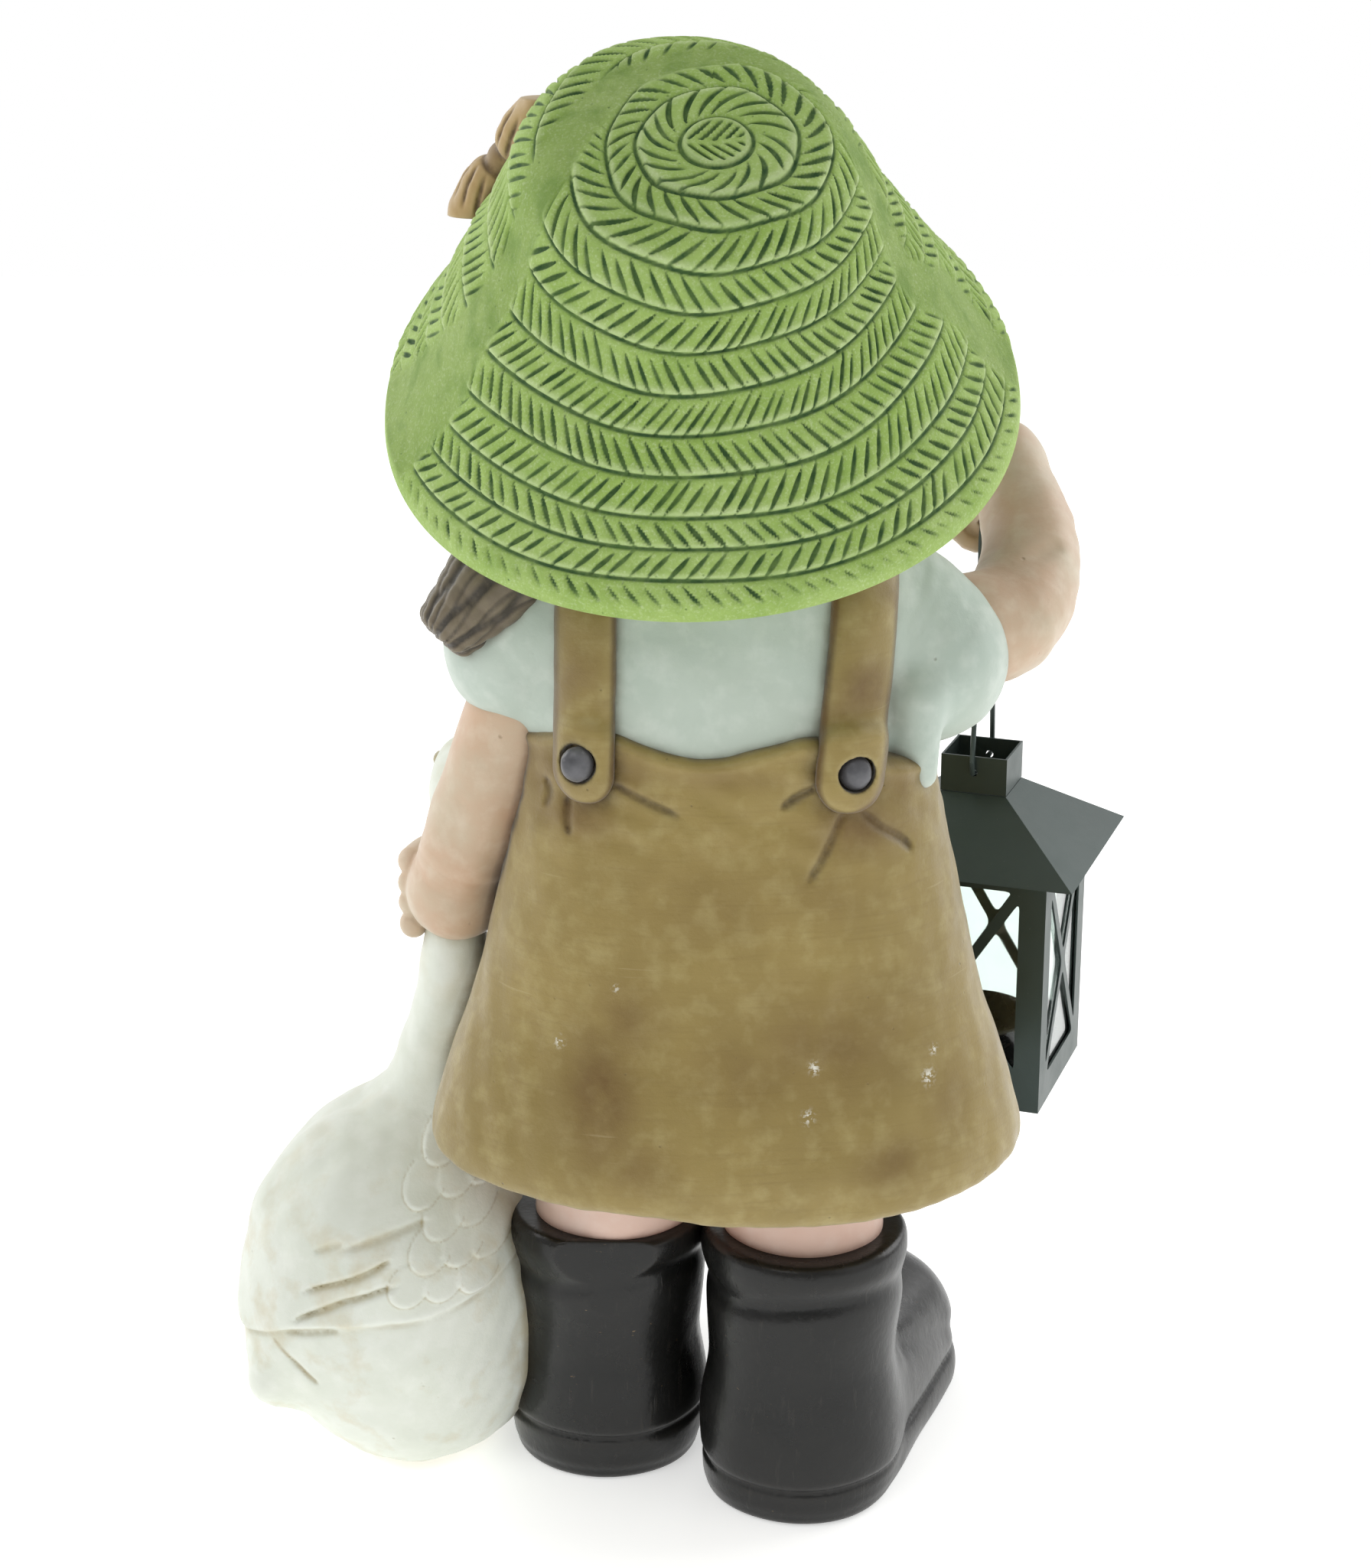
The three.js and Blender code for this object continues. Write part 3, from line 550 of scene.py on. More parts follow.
def pane_glass():
    look = Look("pane_glass")
    smears = look.noise(22, 4)
    look.bump([(look.noise(30, 2), 0.05)])
    return look.finish(
        look.mix(smears, 0xF4FBF8, 0xE6F3EE), look.band(smears, 0.45, 0.75, 0.02, 0.09),
        Transmission_Weight=1.0, IOR=1.45,
    )


# ---- hat ----
def hat_matrix():
    return (
        Matrix.Translation(Vector(HAT_AT)) @ Matrix.Rotation(HAT_ROLL, 4, "Y") @ Matrix.Rotation(-HAT_TILT, 4, "X")
    )


HAT_PLACE = np.array(hat_matrix())


def from_hat(points):
    return points @ HAT_PLACE[:3, :3].T + HAT_PLACE[:3, 3]


def hat_surface(angle, reach, height):
    """The smooth hat at an angle around the crown, from the outline's radius and height."""
    x = reach * np.sin(angle)
    y = reach * np.cos(angle)
    crown = smoothstep(height, 15, HAT_HEIGHT)
    x = x - CROWN_PINCH * np.clip(np.sin(angle), 0, 1) ** 2 * smoothstep(height, 45, 85) * smoothstep(reach, 5, 40)
    droop = HAT_SIDE_DROOP * np.sin(angle) ** 2 * smoothstep(reach, 74, HAT_RADIUS)
    return np.stack([x + HAT_CROWN_SHIFT[0] * crown, y + HAT_CROWN_SHIFT[1] * crown, height - droop], -1)


def seam_mask(plan):
    """1 in the plain seam that crosses the hat, 0 on the braid."""
    seam = np.array(HAT_SEAM, float)
    mask = np.zeros(plan.shape[:-1])
    for a, b in zip(seam, seam[1:]):
        along = b[:2] - a[:2]
        t = np.clip((plan - a[:2]) @ along / (along @ along), 0, 1)
        d = length(plan - a[:2] - t[..., None] * along)
        half = a[2] + (b[2] - a[2]) * t
        mask = np.maximum(mask, 1 - smoothstep(d, half - 3, half + 2.5))
    return mask


def braid(arc, angle, plan):
    """Height of the carved braid and how deep in a cut each point is."""
    fade = 1 - smoothstep(arc, 45, 130)
    from_pole = plan - np.array(BRAID_MIDDLE)
    to_pole = length(from_pole)
    to_crown = length(plan - np.array(HAT_CROWN_SHIFT))
    middle = plan - np.array(BRAID_MIDDLE) * fade[..., None]
    angle = np.arctan2(middle[..., 0], middle[..., 1])
    wobble = (0.9 * np.sin(3 * angle + arc / 23) + 0.6 * np.sin(7 * angle - arc / 31)) * smoothstep(to_pole, 8, 40)
    q = arc + fade * (to_pole - to_crown) + wobble
    edges = np.array((0,) + BRAID_RINGS + (BRAID_END,), float)
    band = np.clip(np.searchsorted(edges, q) - 1, 0, len(edges) - 2)
    width = edges[band + 1] - edges[band]
    across = np.clip((q - edges[band]) / width, 0, 1)
    to_edge = np.minimum(across, 1 - across) * width
    groove = np.where((q > edges[1] - 4) & (q < BRAID_END - 4), np.exp(-((to_edge / 0.85) ** 2)), 0)
    radius = np.maximum((edges[band] + edges[band + 1]) / 2, 7)
    number = np.round(2 * math.pi * np.minimum(radius, 112) * 0.93 / STROKE_PITCH)
    lean = np.where(band % 2 == 0, 1.0, -1.0)
    slant = 0.85 * width / STROKE_PITCH
    phase = angle / (2 * math.pi) * number + lean * slant * (across - 0.5)
    stroke = np.floor(phase)
    shift = (hashed(stroke + 97 * band, 1) - 0.5) * 0.25
    off = (phase - stroke - 0.5 + shift) * STROKE_PITCH * 0.8
    top = 0.45 + 0.12 * (hashed(stroke + 57 * band, 2) - 0.5)
    centre = 0.54 + 0.14 * (hashed(stroke + 31 * band, 3) - 0.5)
    taper = np.clip(1 - ((across - centre) / top) ** 2, 0, 1)
    cut = np.clip(1 - (off / (0.3 + 0.95 * taper)) ** 2, 0, 1) * np.sqrt(taper)
    cut *= 0.7 + 0.5 * hashed(stroke + 13 * band, 4)
    vein = (from_pole[..., 0] + 0.9 * np.abs(from_pole[..., 1])) / 4.4
    vein_off = np.abs(vein - np.floor(vein) - 0.5) * 3.4
    leaf = np.clip(1 - (vein_off / 0.9) ** 2, 0, 1) * smoothstep(np.abs(from_pole[..., 1]), 0.6, 1.8)
    cut = np.where(q < edges[1], leaf * smoothstep(11 - to_pole, 0, 2), cut)
    shingle = 0.3 + 1.7 * across
    round_off = smoothstep(to_edge, 0, 2.0)
    height = shingle * round_off - 1.5 * np.clip(cut, 0, 1) - 0.8 * groove
    # ridge marks where the painted highlight goes, on the raised lower edge of each band
    ridge = round_off * smoothstep(across, 0.7, 0.95) * (1 - np.clip(cut, 0, 1))
    return height, np.maximum(np.clip(cut, 0, 1), 0.85 * groove), ridge


def outline_rows(outline, step):
    """Radius, height and arc length at even steps along a smooth outline."""
    dense = path_through(outline, 600)
    arc = np.concatenate([[0], np.cumsum(length(np.diff(dense, axis=0)))])
    rows = np.linspace(0, arc[-1], int(arc[-1] / step) + 1)
    return np.interp(rows, arc, dense[:, 0]), np.interp(rows, arc, dense[:, 1]), rows


def grid_faces(rows, columns, start=0):
    """Quads of a grid whose columns close into a ring."""
    faces = []
    for row in range(rows - 1):
        first = start + row * columns
        for column in range(columns):
            across = (column + 1) % columns
            faces.append((first + column, first + columns + column, first + columns + across, first + across))
    return faces


def hat():
    reach, height, arc = outline_rows(HAT_TOP_OUTLINE, 0.85)
    under_reach, under_height, _ = outline_rows(HAT_TOP_OUTLINE[-1:] + HAT_UNDER_OUTLINE, 3.0)
    carved = len(reach)
    reach = np.concatenate([reach[1:], under_reach[1:-1]])
    height = np.concatenate([height[1:], under_height[1:-1]])
    arc = np.concatenate([arc[1:], np.full(len(under_reach) - 2, arc[-1])])
    columns = 768
    angle = np.arange(columns) / columns * 2 * math.pi
    around, out = np.meshgrid(angle, reach)
    base = hat_surface(around, out, height[:, None])
    along = np.gradient(base, axis=0)
    across = np.roll(base, -1, 1) - np.roll(base, 1, 1)
    normal = np.cross(across, along)
    normal /= length(normal)[..., None] + 1e-9
    carving, groove, ridge = braid(np.broadcast_to(arc[:, None], around.shape), around, base[..., :2])
    plain = seam_mask(base[..., :2])
    top = np.zeros(len(reach))
    top[: carved - 1] = 1
    edge = 1 - 0.6 * smoothstep(arc, arc[carved - 2] - 3, arc[carved - 2])
    strength = (top * edge)[:, None] * (1 - plain)
    flat = base.reshape(-1, 3)
    lumps = 0.9 * waves(flat, 34, 5).reshape(plain.shape) + 0.35 * waves(flat, 9, 6, 7).reshape(plain.shape)
    lift = strength * carving + (0.35 + 0.3 * plain) * lumps * top[:, None]
    points = base + normal * lift[..., None]
    rows = len(reach)
    poles = np.array([points[0].mean(0), points[-1].mean(0)])
    points = np.concatenate([points.reshape(-1, 3), poles])
    faces = grid_faces(rows, columns)
    last = (rows - 1) * columns
    for column in range(columns):
        after = (column + 1) % columns
        faces.append((rows * columns, column, after))
        faces.append((rows * columns + 1, last + after, last + column))
    marks = {
        "groove": np.append((groove * strength).ravel(), (0, 0)),
        "ridge": np.append((ridge * strength).ravel(), (0, 0)),
        "plain": np.append((plain * top[:, None]).ravel(), (0, 0)),
    }
    return mesh_object("straw_hat", from_hat(points), faces, marks)


def bow():
    knot = np.array([65.5, -50.0, 63.0])
    ends = {"upper": np.array([49.5, -50.0, 84.0]), "lower": np.array([79.0, -47.0, 42.0])}

    def local(p):
        return (p - HAT_PLACE[:3, 3]) @ HAT_PLACE[:3, :3]

    def folds(q):
        total = np.zeros(len(q))
        for end in ends.values():
            along = (end - knot) / np.linalg.norm(end - knot)
            t = (q - knot) @ along
            side = (q - knot) - t[:, None] * along
            angle = np.arctan2(side @ np.cross(along, (0, 1.0, 0)), side[:, 1])
            total += np.where(t > 3, np.sin(angle * 5 + t / 6) ** 8 * smoothstep(t, 4, 10) * smoothstep(26 - t, 2, 9), 0)
        ring = np.exp(-(((length(q - knot) - 8.2) / 1.2) ** 2))
        return np.clip(total + ring, 0, 1)

    def shape(p):
        q = local(p)
        d = 1e3 * np.ones(len(q))
        for end in ends.values():
            d = union(d, limb(q, (knot, (knot + end) / 2, end), (6, 11, 10), 8), 1)
        d = union(d, ellipsoid(q, knot, (8, 8, 8)), 0.8)
        d = union(d, limb(q, (ends["lower"], (88, -44, 35)), (6, 5), 4), 2)
        return d + 1.1 * folds(q)

    low, high = from_hat(np.array([knot - 42, knot + 42])).min(0), from_hat(np.array([knot - 42, knot + 42])).max(0)
    # the folds' groove mark paints shade into the ribbon's folds and round the knot
    return sculpt("ribbon_bow", shape, low - 12, high + 12, 0.7, lambda p: {"groove": folds(local(p))})


# ---- head ----
def on_face(dx, z, out=0.0):
    """A place on the face, beside the middle by dx, lifted off the skin by `out`."""
    inside = 1 - (dx / HEAD_HALF[0]) ** 2 - ((z - HEAD_AT[2]) / HEAD_HALF[2]) ** 2
    return np.array([HEAD_AT[0] + dx, HEAD_AT[1] - HEAD_HALF[1] * math.sqrt(max(inside, 0)) - out, z])


EYE_Z, EYE_APART, EYE_RADIUS = 450.0, 21.0, 10.5
MOUTH_Z, NOSE_Z = 419.0, 434.0


def eye_centre(side):
    return on_face(side * EYE_APART, EYE_Z, 1.6) + np.array([0, EYE_RADIUS, 0])


def lid_line(side, rise):
    """The edge of an eyelid as points on the eyeball, `rise` mm above or below the eye's middle."""
    centre = eye_centre(side)
    places = []
    for step in np.linspace(-1, 1, 7):
        x = step * 8.2
        z = rise * (1 - step * step)
        y = -math.sqrt(max(EYE_RADIUS ** 2 - x * x - z * z, 4))
        places.append(centre + np.array([x, y + 0.2, z]))
    return places


def face_details(p):
    """Mouth line and nostrils, 1 in their depth."""
    line = [on_face(dx, MOUTH_Z + 2.2 * (dx / 13) ** 2, 2.5) for dx in (-10, -5, 0, 5, 10)]
    d, _ = line_distance(p, line)
    mouth = np.exp(-((d / 1.2) ** 2))
    for side in (-1, 1):
        mouth = np.maximum(mouth, np.exp(-((length(p - on_face(side * 3.2, NOSE_Z - 4.5, 6.0)) / 1.7) ** 2)))
    return mouth


def head_shape(p):
    d = ellipsoid(p, HEAD_AT, HEAD_HALF)
    d = union(d, limb(p, ((CENTRE_X, -6, 380), (CENTRE_X + 1, -12, 430)), (27, 27), 3), 14)
    for side in (-1, 1):
        cheek = on_face(side * 25, 427, -15)
        d = union(d, length(p - cheek) - 18.5, 12)
        d = less(d, ellipsoid(p, on_face(side * EYE_APART, EYE_Z, 5), (13, 9, 9)), 8)
        d = union(d, length(p - eye_centre(side)) - (EYE_RADIUS - 1.8), 1)
        d = union(d, limb(p, lid_line(side, 5.9), (1.4, 2.2, 1.4), 9), 1.6)
        d = union(d, limb(p, lid_line(side, -5.4), (1.0, 1.5, 1.0), 9), 1.6)
        d = union(d, length(p - on_face(side * 5.5, NOSE_Z - 2, 2.5)) - 4.2, 3)
    d = union(d, length(p - on_face(0, 403, -8)) - 14, 12)
    d = union(d, limb(p, (on_face(0, 452, -2), on_face(0, 443, 1.5), on_face(0, NOSE_Z + 1, 4.5)), (3, 4, 5.6), 6), 5)
    upper = [on_face(dx, MOUTH_Z + 2.4 + 1.2 * (dx / 13) ** 2, 0.6) for dx in (-8, -4, 0, 4, 8)]
    lower = [on_face(dx, MOUTH_Z - 3.2 + 2.4 * (dx / 12) ** 2, 0.6) for dx in (-6.5, -3, 0, 3, 6.5)]
    d = union(d, limb(p, upper, (1.2, 2.2, 1.2), 8), 2.5)
    d = union(d, limb(p, lower, (1.2, 2.6, 1.2), 8), 2.5)
    return d + 1.3 * face_details(p)


def face_marks(p):
    lips = np.zeros(len(p))
    for lift, bend, size in ((2.2, 1.2, 2.4), (-2.8, 2.4, 2.9)):
        line = [on_face(dx, MOUTH_Z + lift + bend * (dx / 12) ** 2, 1.5) for dx in (-7.5, -4, 0, 4, 7.5)]
        d, _ = line_distance(p, line)
        lips = np.maximum(lips, 1 - smoothstep(d, size - 0.8, size + 0.8))
    blush = np.zeros(len(p))
    for side in (-1, 1):
        blush = np.maximum(blush, 1 - smoothstep(length(p - on_face(side * 27, 428, 2)), 5, 19))
    # the groove mark paints shade into the mouth line and nostrils
    return {"groove": face_details(p), "lips": lips, "blush": blush}


def head():
    return sculpt("face_and_neck", head_shape, (-60, -96, 352), (70, 40, 522), 0.85, face_marks)


def face_paint():
    look, colour, rough = cast_paint(
        "face_skin", 0xE8C6A8, 0xE2BB9B, 0x9A6F50, 0xF3DCC6,
        dict(patch=40, shade_and_dirt=3.5, shade_and_dirt_share=0.5, rough=(0.42, 0.58), grain=0.05, pits=15, pit_share=0.3, lump=0.15),
    )
    colour = look.mix(look.sum("MULTIPLY", look.mark("blush"), 0.45), colour, 0xDE9A84)
    colour = look.mix(look.sum("MULTIPLY", look.mark("lips"), 0.55), colour, 0xC9867A)
    return finished(look, colour, rough)


def eye_paint():
    """White, iris and pupil as rings about the line of sight."""
    look = Look("painted_eye")
    parts = look.node("ShaderNodeSeparateXYZ")
    look.put(parts.inputs[0], look.place)
    flat = look.node("ShaderNodeCombineXYZ")
    look.put(flat.inputs[0], parts.outputs[0])
    look.put(flat.inputs[2], parts.outputs[2])
    reach = look.node("ShaderNodeVectorMath", operation="LENGTH")
    look.put(reach.inputs[0], flat.outputs[0])
    ring = reach.outputs["Value"]
    speckle = look.noise(1.2, 3)
    iris = look.mix(speckle, 0x5A3E26, 0x7C5A38)
    colour = look.mix(look.band(ring, 0.0056, 0.0060), iris, 0xF1EEE6)
    colour = look.mix(look.band(ring, 0.0027, 0.0030), 0x17110D, colour)
    look.bump([(look.noise(6, 2), 0.05)])
    return look.finish(colour, look.band(speckle, 0, 1, 0.15, 0.22))


def round_ball(name, at, radius, rings=32):
    """A ball of even latitude rings whose own frame is at its middle."""
    columns = 2 * rings
    points = []
    for ring in range(1, rings):
        tilt = math.pi * ring / rings
        for column in range(columns):
            turn = 2 * math.pi * column / columns
            points.append((math.sin(tilt) * math.cos(turn), math.sin(tilt) * math.sin(turn), math.cos(tilt)))
    points += [(0, 0, 1), (0, 0, -1)]
    faces = grid_faces(rings - 1, columns)
    last = (rings - 2) * columns
    for column in range(columns):
        after = (column + 1) % columns
        faces.append(((rings - 1) * columns, column, after))
        faces.append(((rings - 1) * columns + 1, last + after, last + column))
    ball = mesh_object(name, np.array(points) * radius - SHIFT, faces)
    ball.location = Vector((at + SHIFT) * MM)
    bpy.context.view_layer.update()
    return ball


def brow(side):
    line = [on_face(side * dx, z, 0.6) for dx, z in ((10, 466), (18, 469), (26, 468), (32, 464))]

    def shape(p):
        d = limb(p, line, (1.4, 2.4, 2.0, 0.8), 9)
        return d + 0.35 * np.sin(p[:, 0] * 2.6 + p[:, 2] * 1.5)

    points = np.array(line)
    label = "brow_left" if side > 0 else "brow_right"
    return sculpt(label, shape, points.min(0) - 5, points.max(0) + 5, 0.45, lambda p: {"groove": np.zeros(len(p))})


# ---- hair ----
def strand_cuts(turn, drop, count, seed):
    """Grooves between strands, for an angle around the head and a distance down it."""
    wave = turn * count + 0.8 * np.sin(drop / 17 + seed) + 0.5 * np.sin(turn * 3 + drop / 9)
    return np.abs(np.cos(wave)) ** 6


def hair_cuts(p):
    q = p - HEAD_AT
    turn = np.arctan2(q[:, 0], q[:, 1])
    # also the groove mark, which paints shade between the strands
    return strand_cuts(turn, q[:, 2], 22, 1.0)


def hair_shape(p):
    at = HEAD_AT + np.array([0, 4, 2])
    d = ellipsoid(p, at, HEAD_HALF + HAIR_THICK)
    opening = common(np.abs(p[:, 0] - HEAD_AT[0]) - 44 + 0.16 * np.clip(455 - p[:, 2], 0, 60), p[:, 1] + 44, 4)
    fringe = 496 - 9 * np.abs(np.sin((p[:, 0] - HEAD_AT[0]) / 15))
    opening = common(opening, p[:, 2] - fringe, 4)
    d = less(d, opening, 6)
    d = common(d, 411 - p[:, 2] + 2.5 * np.sin(p[:, 0] / 5), 6)
    d = less(d, ellipsoid(p, HEAD_AT, HEAD_HALF - 3), 1)
    return d + 1.5 * hair_cuts(p)


def pigtail(name, points, radii, seed):
    path = np.array(points, float)
    start, end = path[0], path[-1]
    along = (end - start) / np.linalg.norm(end - start)
    side = np.cross(along, (0, 1.0, 0))
    side /= np.linalg.norm(side)
    front = np.cross(side, along)

    def frame_of(p):
        q = p - start
        t = q @ along
        return t, q @ side, q @ front

    def cuts(p):
        t, across, deep = frame_of(p)
        turn = np.arctan2(across, deep)
        sway = 0.9 * np.sin(t / 9 + seed) + t / 30
        fan = np.abs(np.cos(turn * 5 + sway)) ** 8 + 0.6 * np.abs(np.cos(turn * 9.5 - 1.6 * sway + seed)) ** 10
        return np.clip(fan, 0, 1) * smoothstep(t, -8, 6)

    def shape(p):
        t, across, deep = frame_of(p)
        d = limb(p, points, radii, 10)
        d = common(d, t - np.linalg.norm(end - start) - 0.45 * radii[-1] + 0.08 * across, 5)
        return d + 1.2 * cuts(p) + 0.8 * waves(p, 18, seed)

    low, high = path.min(0) - 30, path.max(0) + 30
    # the groove mark paints shade between the pigtail's strands
    return sculpt(name, shape, low, high, 0.8, lambda p: {"groove": cuts(p)})


# ---- clothes ----
def torso_shape(p):
    r = plan_radius(p)
    half = curve(p[:, 2], ((290, 71), (335, 70), (365, 69), (388, 65), (402, 57), (414, 45)))
    dome = 410 - 16 * (r / 62) ** 4
    return common((r - half) * 0.75, p[:, 2] - dome, 9)


def back_top(p):
    """Height of the waistband's top edge, lower at the sides under the shirt's hem."""
    back = curve(p[:, 0], (
        (-95, 312), (-80, 314), (-70, 315), (-60, 317), (-50, 322), (-31, 328), (-14, 325), (4, 321),
        (22, 323), (41, 329), (56, 329), (68, 324), (95, 322),
    ))
    return np.where(p[:, 1] > -10, back, 326)


WAIST_CREASES = (
    (((41, 311), (33, 307), (26, 304), (16, 300)), 1.6, 2.2),
    (((-34, 311), (-26, 307), (-20, 303)), 1.7, 2.4),
    (((-43, 301), (-39, 291), (-35, 283), (-30, 275)), 1.7, 2.2),
    (((-49, 301), (-57, 293), (-65, 287), (-69, 282)), 1.7, 2.2),
    (((57, 304), (57.6, 296), (57, 289)), 1.6, 2.2),
    (((66, 308), (64, 303), (66, 297)), 1.6, 1.6),
)


def skirt_cuts(p):
    # painted shade in the waistband's creases
    total = np.zeros(len(p))
    for line, width, _ in WAIST_CREASES:
        total = np.maximum(total, crease(p, line, width))
    return 0.6 * total * (p[:, 1] > 0)


def skirt_shape(p):
    z = p[:, 2]
    r = plan_radius(p + SKIRT_LEAN)
    half = curve(z, (
        (140, 111), (152, 113.2), (160, 113.8), (178, 110), (214, 98), (256, 88), (290, 80.5),
        (306, 77.6), (318, 76.8), (326, 76), (340, 75.4),
    ))
    turn = np.arctan2(p[:, 0] - CENTRE_X, p[:, 1])
    folds = 1.3 * np.sin(5 * turn + 0.6) + 0.8 * np.sin(9 * turn + 2.0) + 0.9 * np.sin(2 * turn)
    half = half + folds * smoothstep(z, 290, 170)
    top = back_top(p)
    band = np.exp(-(((z - top + 3) / 3.2) ** 2)) * 1.5
    gather = 0.9 * waves(p, 13, 21) * smoothstep(z, 268, 300) * smoothstep(top + 1 - z, 0, 14)
    d = (r - half - band - gather) * 0.75
    for line, width, depth in WAIST_CREASES:
        d = d + depth * 0.75 * crease(p, line, width) * (p[:, 1] > 0)
    ridge = crease(p, ((-33, 207), (-36, 225), (-41, 245)), 4.0) * (p[:, 1] > 0)
    d = d - 0.8 * ridge
    d = common(d, z - top, 5)
    hem = HEM_Z + 0.8 * np.sin(4 * turn + 1.0) - 7.5 * np.exp(-(((turn + 0.35) / 0.75) ** 2))
    d = common(d, hem - z, 7)
    inner = common((r - half + 24 - 0.35 * (z - hem)) * 0.75, z - hem - 34, 8)
    d = less(d, inner, 6)
    return d + 0.35 * waves(p, 11, 23, 6)


# brown stains on the skirt as (x, z), (width, height) and strength; those from z 294 up, at the strap ends and the
# waistband, are painted shade around the straps and under the waistband
STAINS_AND_SHADE = (
    ((46, 196), (13, 24), 0.95), ((36, 224), (12, 16), 0.6), ((33, 170), (15, 10), 0.5), ((-38, 216), (30, 20), 0.55),
    ((-62, 170), (13, 9), 0.65), ((-84, 190), (10, 16), 0.35), ((-8, 206), (22, 14), 0.4), ((8, 268), (30, 16), 0.3),
    ((-40, 270), (16, 12), 0.3), ((56, 297), (16, 9), 0.8), ((-50, 294), (18, 11), 0.9), ((68, 312), (8, 14), 0.7),
    ((34, 315), (8, 9), 0.6), ((-64, 306), (8, 10), 0.6), ((0, 314), (26, 5), 0.4),
)
SPECKS = ((61, 213.5, 1.8), (-33, 207, 2.0), (-31, 189, 2.2), (-76, 199, 2.4), (-78, 208, 1.5), (40, 236, 1.2))


def skirt_marks(p):
    stain_and_shade = np.zeros(len(p))
    back = p[:, 1] > -20
    for (x, z), (wide, tall), share in STAINS_AND_SHADE:
        q = ((p[:, 0] - x) / wide) ** 2 + ((p[:, 2] - z) / tall) ** 2
        stain_and_shade = np.maximum(stain_and_shade, share * np.exp(-q) * back)
    front = 0.4 * np.clip(waves(p, 70, 29), 0, 1) * ~back
    speck = np.zeros(len(p))
    for x, z, size in SPECKS:
        q = ((p[:, 0] - x) ** 2 * 1.6 + (p[:, 2] - z) ** 2) / size ** 2
        speck = np.maximum(speck, np.exp(-q) * back)
    crust = np.exp(-((np.minimum(arm_left_shape(p), goose_neck(p)) / 4.5) ** 2))
    crust *= back * np.clip(0.6 + waves(p, 9, 27, 6), 0, 1)
    return {"groove": np.maximum(skirt_cuts(p), crust), "stain_and_shade": stain_and_shade + front, "speck": speck}


def strap_line(side):
    """The strap's middle line as (x, z), from its end up to the shoulder."""
    if side > 0:
        return ((51.5, STRAP_END_Z + 11), (51, 335), (50.5, 365), (49.5, 395), (47, 430))
    return ((-45.5, STRAP_END_Z + 10), (-47.5, 335), (-50, 360), (-51.5, 395), (-50, 430))


def strap_half(side):
    return STRAP_HALF + 0.5 if side > 0 else STRAP_HALF + 2


def button_at(side, back):
    x, z = strap_line(side)[0]
    x += 2 if side > 0 else -1.5
    z += 5 if side > 0 else 3
    plan = (77 ** PLAN_POWER - abs(x - CENTRE_X) ** PLAN_POWER) ** (1 / PLAN_POWER)
    return np.array([x, back * (plan * BODY_DEPTH + STRAP_THICK - 1.5), z])


def strap(side):
    label = "left" if side > 0 else "right"
    line = strap_line(side)

    def shape(p):
        dressed = union(torso_shape(p), skirt_shape_plain(p), 6)
        d2, _ = line_distance(p[:, [0, 2]], line, 10)
        puffed = STRAP_THICK + 1.2 - 2.6 * np.clip(d2 / strap_half(side), 0, 1.2) ** 2
        d = common(dressed - puffed, d2 - strap_half(side), 5)
        d = common(d, -dressed - 2.5, 1)
        for back in (1, -1):
            to_button = length((p - button_at(side, back)) * np.array([1, 0.6, 1]))
            d = less(d, to_button - 7.2, 1.2)
        return d + 0.35 * waves(p, 12, 31, 6)

    def marks(p):
        d2, _ = line_distance(p[:, [0, 2]], line, 10)
        # painted shade along the strap's edges, carried both by the groove and the stain mark
        rim = smoothstep(d2 / strap_half(side), 0.72, 0.98)
        return {"groove": 0.7 * rim, "stain_and_shade": np.clip(waves(p, 30, 33) + 0.8 * rim, 0, 1)}

    return sculpt("strap_%s_cast" % label, shape, (line[0][0] - 22, -75, 292), (line[0][0] + 22, 75, 428), 0.9, marks)


def skirt_shape_plain(p):
    """The skirt's outside without creases, for what lies on it."""
    half = curve(p[:, 2], ((256, 88), (290, 80.5), (306, 77.6), (318, 76.8), (326, 76), (340, 75.4)))
    return common((plan_radius(p + SKIRT_LEAN) - half) * 0.75, p[:, 2] - 326, 5)


def button(side, back):
    label = "button_%s_%s_cast" % ("back" if back > 0 else "front", "left" if side > 0 else "right")
    at = button_at(side, back)

    def shape(p):
        dome = ellipsoid(p, at + np.array([0, back * 1.0, 0]), (6, 4.2, 6.6))
        return dome + 0.12 * waves(p, 4, 37)

    return sculpt(label, shape, at - 9, at + 9, 0.4, lambda p: {"groove": np.zeros(len(p))})


def shirt_shape(p):
    d = torso_shape(p)
    left = limb(p, ((48, 0, 372), (66, -2, 360), (75, -4, 349)), (28, 30.5, 30.5), 8)
    left = common(left, (p - np.array([84, -4, 322])) @ np.array([0.2, 0, -0.98]) - 3, 7)
    right = limb(p, ((-44, -2, 368), (-62, -8, 356), (-75, -10, 343)), (30, 32, 33), 8)
    right = common(right, (p - np.array([-103, -20, 345])) @ np.array([-0.8, -0.6, 0]) - 3, 7)
    d = union(d, left, 10)
    d = union(d, right, 10)
    flap = limb(p, ((-72, 21, 334), (-72, 22.5, 318), (-73, 23, 307)), (10, 8, 5.5), 9)
    d = union(d, flap, 9)
    folds = 0.9 * waves(p, 26, 41) + 0.3 * waves(p, 9, 43, 6)
    d = d + folds * 0.8
    return common(d, 300 - p[:, 2], 3)


